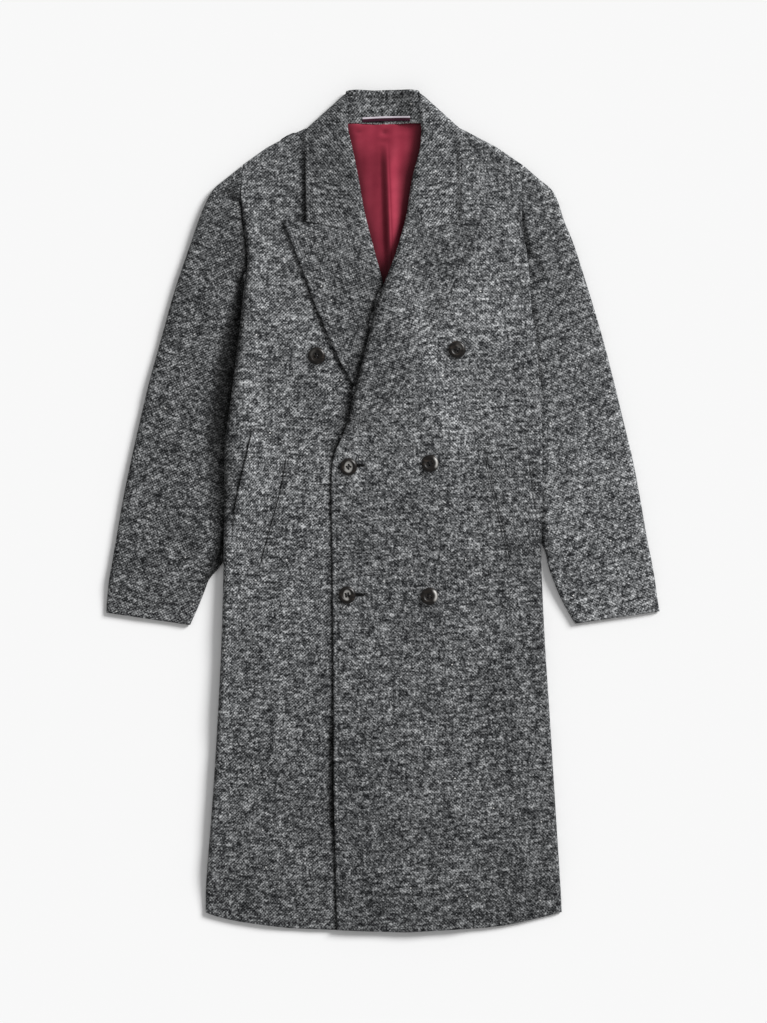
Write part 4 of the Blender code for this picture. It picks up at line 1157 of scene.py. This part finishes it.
def makeLining():
    xs, ys = planOf(rowsAt(lining["rows"], 3.0, [0.0], [0.0, 0.4, 1.2, 2.4]),
                    spreadOf([0.0, 1.0], [0.0, 1.0], lining["columns"]))
    ys = ys - lining["dip"] * ease((ys - 520.0) / 40.0) * (1.0 - (xs / 62.0) ** 2)
    topX, topY, lowX, lowY = lining["crest"]
    off = xs - (lowX + (topX - lowX) * (ys - lowY) / (topY - lowY))
    ridge = 1.0 - 0.10 * hump(off - 2.6, 1.2)
    pleat = np.where(off < 0, ease(1.0 + off / lining["steep"]),
                     (1.0 - ease(off / lining["slope"])) * ridge)
    # how far the pleat has opened, from the neck down
    wake = ease((549.0 - ys) / 60.0) * (0.75 + 0.25 * ease((500.0 - ys) / 120.0))
    wake = wake * (0.35 + 0.65 * ease((ys - 325.0) / 90.0))
    zs = lining["height"] + neckRise(xs, ys) + lining["rise"] * pleat * wake
    # painted shade in the pleat's valley and in the dimples
    paintedShade = lining["paintedShade"] + [paintedDark * wake * hump(off + away, width)
                             for away, width, paintedDark in lining["pleatShade"]]
    for x, y, halfX, halfY, rise, paintedDark in lining["dimples"]:
        zs = zs + rise * hump(xs - x, halfX) * hump(ys - y, halfY)
        paintedShade.append(paintedDark * hump(xs - x, 4.0) * hump(ys - y, 2.6))
    zs = zs + 0.5 * np.sin(xs * 0.11 + ys * 0.012) + 0.18 * np.sin(xs * 0.35 - ys * 0.02 + 1.0)
    # it lies up against the stand at both sides, and its seam turns in under it
    zs = zs + 3.6 * ease((np.abs(xs) - 10.0) / 42.0) * ease((ys - 535.0) / 25.0)
    zs = zs - 2.5 * ease((ys - 560.5) / 4.0)
    spread = ease((ys - 490.0) / 40.0)          # the painted highlight on the flank is broader near the neck
    paintedLight = lining["paintedSheen"] * wake * hump(off - 9.0 - 9.0 * spread, 8.0 + 4.5 * spread)
    paintedNeckLight = ease((ys - 500.0) / 50.0) * (1.0 - 0.5 * ease((np.abs(xs) - 30.0) / 20.0))
    paintedLight = paintedLight + lining["paintedNeckLight"] * paintedNeckLight
    piece = clothOf("liningCloth", xs, ys, zs, 0.0, shade=(1.0 + paintedLight) * shadeOf(xs, ys, paintedShade))
    thicken(piece, lining["wall"], 0)
    settle(piece, satin, "lining", "lining_back")
    declare(xs, ys)


makeLining()
print("lining ready")

loop = {
    "start": -30.0,         # x where it is sewn on
    "length": 69.0,
    "low": 563.1,
    "high": 570.0,
    "slant": 1.6,           # how much higher its left end is
    "bow": 0.9,             # and its middle
    "height": 0.9,
    "arch": 1.6,            # how far its middle stands off
    "edge": 2.7,            # width of the pale selvedge along its upper side
    "wall": 0.9,
}


def makeLoop():
    end = loop["start"] + loop["length"]
    rows = [(loop["start"], level, end, level + loop["slant"]) for level in (loop["low"], loop["high"])]
    xs, ys = planOf(flowRows(rows, 0.5), spreadOf([0.0, 0.6, 1.4], [0.0, 0.6, 1.4], 26))
    share = np.clip((xs - loop["start"]) / loop["length"], 0.0, 1.0)
    rim = np.minimum(ys - ys[0], ys[-1] - ys)
    ys = ys + loop["bow"] * np.sin(math.pi * share)
    arch = np.maximum(0.0, np.sin(math.pi * share)) ** 0.6
    zs = neckLevel(xs, ys) + loop["height"] + loop["arch"] * arch - 0.35 * (1.0 - dome(rim, 0.9))
    zs = zs + 0.25 * ease((ys - ys[-1] + loop["edge"] + 0.3) / 0.6)
    piece = clothOf("loopTape", xs, ys, zs, 0.0)
    thicken(piece, loop["wall"], 0)
    settle(piece, thread["loopTape"], "loop", "hanger_loop")
    piece.data.materials.append(thread["loopEdge"])
    for face in piece.data.polygons:
        place = (face.center.x / mm - loop["start"]) / loop["length"]
        level = face.center.y / mm - loop["slant"] * place - loop["bow"] * math.sin(math.pi * place)
        face.material_index = int(level > loop["high"] - loop["edge"])


makeLoop()
print("loop ready")

welt = {
    "step": 4.0,
    "columns": 9,
    "rise": 3.1,            # how far its outer edge lies over the front
    "seam": 0.5,            # and its inner edge
    "wall": 2.0,
    "fadeUp": 14.0,         # how far from its ends that starts
    "fadeDown": {"right": (16.0, 28.0), "left": (16.0, 0.0)},      # and how much more at the outer edge
    "groove": (2.4, 1.15, 0.9),         # of the inner seam: how far in, width, depth
    # painted shade in the inner seam's groove, right and left
    "paintedDark": {"right": 0.95, "left": 0.6},
}


def makeWelt(hand):
    xs, ys = planOf(rowsAt(welts[hand], welt["step"], stitchedIn, stitchedIn),
                    spreadOf(edgeIn, [0.0, 0.6, 1.2, 1.8, 2.4, 3.0, 3.6, 4.4], welt["columns"]))
    outer, inner, upper, lower = (gapTo(line, xs, ys)
                                  for line in edgesOf(xs, ys, "near", "far", "first", "last"))
    share = inner / (inner + outer)
    reach, more = welt["fadeDown"][hand]
    ends = ease(upper / welt["fadeUp"]) * ease(lower / (reach + more * share ** 2))
    lift = welt["seam"] + (welt["rise"] - welt["seam"]) * ease(share * 1.25)
    lift = (lift + 0.6) * ends - 0.5 * (1.0 - ends)
    place, width, depth = welt["groove"]
    seam = hump(inner - place, width) * ease(upper / 7.0) * ease(lower / 9.0)
    zs = bodySkin(topOf(hand, xs, ys), xs, ys, 1) + lift - 1.1 * turnedEdge(outer) * ends
    zs = zs - 0.7 * (1.0 - ease(inner / 1.2)) - depth * seam
    # painted light from the front's tone table, and painted shade in the seam's groove
    shade = toneAt(front["tone"][hand], ys) * (1.0 - welt["paintedDark"][hand] * seam)
    piece = clothOf("welt" + hand.title(), xs, ys, zs, front["grain"], shade=shade)
    thicken(piece, welt["wall"], 0.3)
    settle(piece, wool[hand], "wool", "welt_" + hand)
    declare(xs, ys)


makeWelt("right")
makeWelt("left")
print("welts ready")

button = {
    "places": [(-96, 225, "right"), (107, 234, "left"), (-50, 64.3, "left"), (68, 69, "left"),
               (-52, -121, "left"), (67, -123, "left")],
    "hole": 1.4,            # radius of each of the four holes
    "spread": 3.1,          # how far they are from the middle
    "profile": [(0.0, 0.6), (5.4, 0.2), (9.0, 0.0), (11.2, 0.5), (12.2, 1.3), (12.5, 2.0),
                (12.2, 2.6), (11.4, 3.2), (10.6, 3.7), (9.9, 4.1), (9.2, 4.35), (8.5, 4.4), (7.9, 4.25),
                (7.2, 3.9), (6.4, 3.6), (5.6, 3.45), (4.6, 3.35), (3.4, 3.3), (0.0, 3.2)],
    # painted highlights on the horn, pale rings and crescents: radius, half width, squeeze across,
    # direction, spread, share
    "pale": [(8.0, 2.0, 1.0, 140, 40, 0.10), (5.0, 3.0, 1.0, 50, 50, 0.16), (5.7, 2.5, 1.42, 0, 400, 0.66),
             (9.8, 1.6, 1.0, 8, 42, 0.9), (5.5, 2.3, 1.45, 150, 140, 0.64), (9.8, 1.8, 1.0, 6, 46, 1.0)],
    "tilts": [(2.0, -3.0), (-2.0, 2.5), (3.0, 2.0), (-3.0, -1.5), (2.5, 3.0), (-2.5, 1.0)],
    "turn": 1.3,            # how much further round each is than the one before
    "thread": (0.42, 0.45, 2.5, 0.9),       # radius, half the gap of a pair, height, and its bow
}


def buttonMesh():
    form = bmesh.new()
    verts = [form.verts.new((x * mm, 0.0, z * mm)) for x, z in button["profile"]]
    edges = [form.edges.new(pair) for pair in zip(verts, verts[1:])]
    bmesh.ops.spin(form, geom=verts + edges, cent=(0, 0, 0), axis=(0, 0, 1), dvec=(0, 0, 0),
                   angle=2.0 * math.pi, steps=60, use_merge=True, use_duplicate=False)
    bmesh.ops.remove_doubles(form, verts=form.verts[:], dist=1e-6)
    bmesh.ops.recalc_face_normals(form, faces=form.faces[:])
    blank = addObject("blank", meshOf("buttonForm", form))
    drill = bmesh.new()
    for part in range(4):
        angle = (part + 0.5) * math.pi / 2.0
        shift = Vector((math.cos(angle), math.sin(angle), 0.0)) * button["spread"] * mm
        bmesh.ops.create_cone(drill, cap_ends=True, segments=14, radius1=button["hole"] * mm,
                              radius2=button["hole"] * mm, depth=20.0 * mm,
                              matrix=Matrix.Translation(shift))
    cutter = addObject("drill", meshOf("drill", drill))
    cut = blank.modifiers.new("holes", "BOOLEAN")
    cut.operation = "DIFFERENCE"
    cut.object = cutter
    shaped = bpy.data.meshes.new_from_object(blank.evaluated_get(bpy.context.evaluated_depsgraph_get()))
    for piece in (blank, cutter):
        bpy.data.objects.remove(piece, do_unlink=True)
    return shaped


def threadMesh():
    form = bmesh.new()
    radius, aside, height, bow = button["thread"]
    reach = button["spread"] * math.cos(math.pi / 4.0)
    lengthwise = Matrix.Rotation(-math.pi / 2.0, 4, "X") @ Matrix.Rotation(math.pi / 2.0, 4, "Z")
    for hole in (-reach, reach):
        for strand in (-aside, aside):
            bmesh.ops.create_cone(form, cap_ends=True, segments=6, radius1=radius, radius2=radius,
                                  depth=2.0 * reach,
                                  matrix=Matrix.Translation((hole + strand, 0.0, 0.0)) @ lengthwise)
    long = [edge for edge in form.edges if abs(edge.verts[0].co.y - edge.verts[1].co.y) > reach]
    bmesh.ops.subdivide_edges(form, edges=long, cuts=7)
    for vert in form.verts:
        vert.co.z += height + bow * math.sin(math.pi * (vert.co.y / reach + 1.0) / 2.0)
    bmesh.ops.scale(form, vec=(mm, mm, mm), verts=form.verts)
    return meshOf("buttonThread", form)


# painted highlights: pale rings and crescents stored in the shade attribute
def shadeRings(mesh, turned, ring):
    radius, half, squeeze, direction, spread, share = ring
    x, y, z = coordinatesOf(mesh).T / mm
    x, y = x * math.cos(turned) - y * math.sin(turned), x * math.sin(turned) + y * math.cos(turned)
    away = (np.degrees(np.arctan2(y, x)) - direction + 180.0) % 360.0 - 180.0
    whole = squeeze > 1.0       # a ring all round lies on the upper side alone
    band = np.exp(-np.abs((np.hypot(x * squeeze, y) - radius) / half) ** (4 if whole else 2))
    upper = z > (3.0 if whole else 1.5)
    setShade(mesh, share * band * ease((spread + 15.0 - np.abs(away)) / 30.0) * upper)


def makeButtons():
    shaped = buttonMesh()
    for number, ((x, y, hand), tilt) in enumerate(zip(button["places"], button["tilts"]), 1):
        level = float(np.max(topOf(hand, np.array([x - 9.0, x, x + 9.0]), np.array([y, y, y])))) + 0.5
        turned = number * button["turn"]
        turn = (Matrix.Rotation(math.radians(tilt[0]), 4, "X")
                @ Matrix.Rotation(math.radians(tilt[1]), 4, "Y") @ Matrix.Rotation(turned, 4, "Z"))
        for kind, mesh, paint in (("button", shaped.copy(), horn),
                                  ("thread", threadMesh(), thread["darkThread"])):
            nodes = []
            if kind == "button":
                # painted highlights on the horn
                shadeRings(mesh, turned, button["pale"][number - 1])
                nodes.append("button_" + str(number))
            mesh.transform(Matrix.Translation((x * mm, y * mm, level * mm)) @ turn)
            mesh.materials.clear()
            mesh.shade_smooth()
            settle(addObject(kind + str(number), mesh), paint, "horn", *nodes)


makeButtons()
print("buttons ready")

stitching = {
    "pitch": 5.2,           # along the edges
    "size": (2.7, 0.55, 0.30),          # length, width, height
    "holes": [(-50.0, 66.2, -23.6), (-51.0, -120.6, -23.2)],        # buttonholes: start x, y, end x
    "purlPitch": 0.85,
    "purl": (1.4, 0.75, 0.34),
    "slit": 2.4,
    "neck": (-26.0, 50.0, 2.9),         # the felling at the stand: from x, to x, pitch
    "felling": (2.3, 0.8, 0.35),
}


class Seam:         # stitches on one piece of cloth, joined in one mesh
    def __init__(self, cloth):
        self.form = bmesh.new()
        self.tree = BVHTree.FromObject(bpy.data.objects[cloth], bpy.context.evaluated_depsgraph_get())

    def stitch(self, x, y, along, size, level=True):
        place, normal = self.tree.ray_cast(Vector((x * mm, y * mm, 0.1)), Vector((0, 0, -1)))[:2]
        if place is None:
            return
        along = Vector((*along, 0.0))
        if level:           # it follows the cloth's slope
            along = along - normal * along.dot(normal)
        along = along.normalized()
        side = normal.cross(along).normalized()
        length, width, height = size
        turn = Matrix((along, side, normal)).transposed().to_4x4()
        form = Matrix.Diagonal((length / 2.0 * mm, width / 2.0 * mm, height * mm, 1.0))
        bmesh.ops.create_uvsphere(self.form, u_segments=6, v_segments=4, radius=1.0,
                                  matrix=Matrix.Translation(place) @ turn @ form)

    def run(self, line, gap):
        walked = stitching["pitch"] / 2.0
        points = [Vector(point) for point in line]
        for start, end in zip(points, points[1:]):
            step = (end - start).length
            along = (end - start) / step
            while walked < step:
                x, y = start + along * walked + Vector((-along.y, along.x)) * gap
                self.stitch(x, y, along, stitching["size"])
                walked += stitching["pitch"]
            walked -= step

    def finish(self, name, paint):
        mesh = meshOf(name, self.form)
        mesh.shade_smooth()
        settle(addObject(name, mesh), thread[paint], "wool")


def makeEdgeStitches():
    leaf = [(111.8, 421.0), (112.0, 482.0), (112.6, 512.0), (114.0, 536.0)]
    edges = [("lapelRight", "lapelRight", [([row[2:4] for row in lapels["right"] if row[1] > 150], 1)]),
             ("lapelLeft", "lapelLeft", [([row[2:4] for row in lapels["left"] if row[1] > 130], -1)]),
             ("collar", "collarCloth", [(mirrored(leaf), -1), (leaf, 1)]),
             ("front", "frontLeftCloth", [(overEdge[1:], 1)]),
             ("weltRight", "weltRight", [(nearOf(welts["right"]), 1)]),
             ("weltLeft", "weltLeft", [(nearOf(welts["left"]), -1)])]
    for name, cloth, lines in edges:
        seam = Seam(cloth)
        for line, side in lines:
            seam.run(line, side * lay["stitchIn"])
        seam.finish(name + "Stitches", "greyThread")


def makeNeckStitches():
    seam = Seam("standCloth")
    startX, endX, pitch = stitching["neck"]
    for part in range(int((endX - startX) / pitch) + 1):
        x = startX + part * pitch
        y = lineAt(farOf(stand["under"]), x, key=0, value=1) + 0.9 + 0.25 * math.sin(part * 2.3)
        seam.stitch(x, y, (0.22, 1.0), stitching["felling"])
    seam.finish("neckStitches", "paleThread")


def makeButtonholes():
    length, width, height = stitching["purl"]
    aside = (stitching["slit"] + length) / 2.0
    for number, (startX, y, endX) in enumerate(stitching["holes"], 1):
        seam = Seam("frontLeftCloth")
        count = int((endX - startX) / stitching["purlPitch"])
        for part in range(count + 1):
            for side in (-aside, aside):
                seam.stitch(startX + (endX - startX) * part / count, y + side, (0.18, 1.0),
                            stitching["purl"], level=False)
        # painted shade: a black sheet in the slit stands for the shade inside it
        slit = (endX - startX, stitching["slit"] * 1.3, 0.2)
        seam.stitch((startX + endX) / 2.0, y, (1.0, 0.0), slit, level=False)
        seam.stitch(endX, y, (0.0, 1.0), (2.0 * length, width * 1.4, height), level=False)
        seam.finish("buttonhole" + str(number), "blackThread")


makeEdgeStitches()
makeNeckStitches()
makeButtonholes()
print("stitching ready")
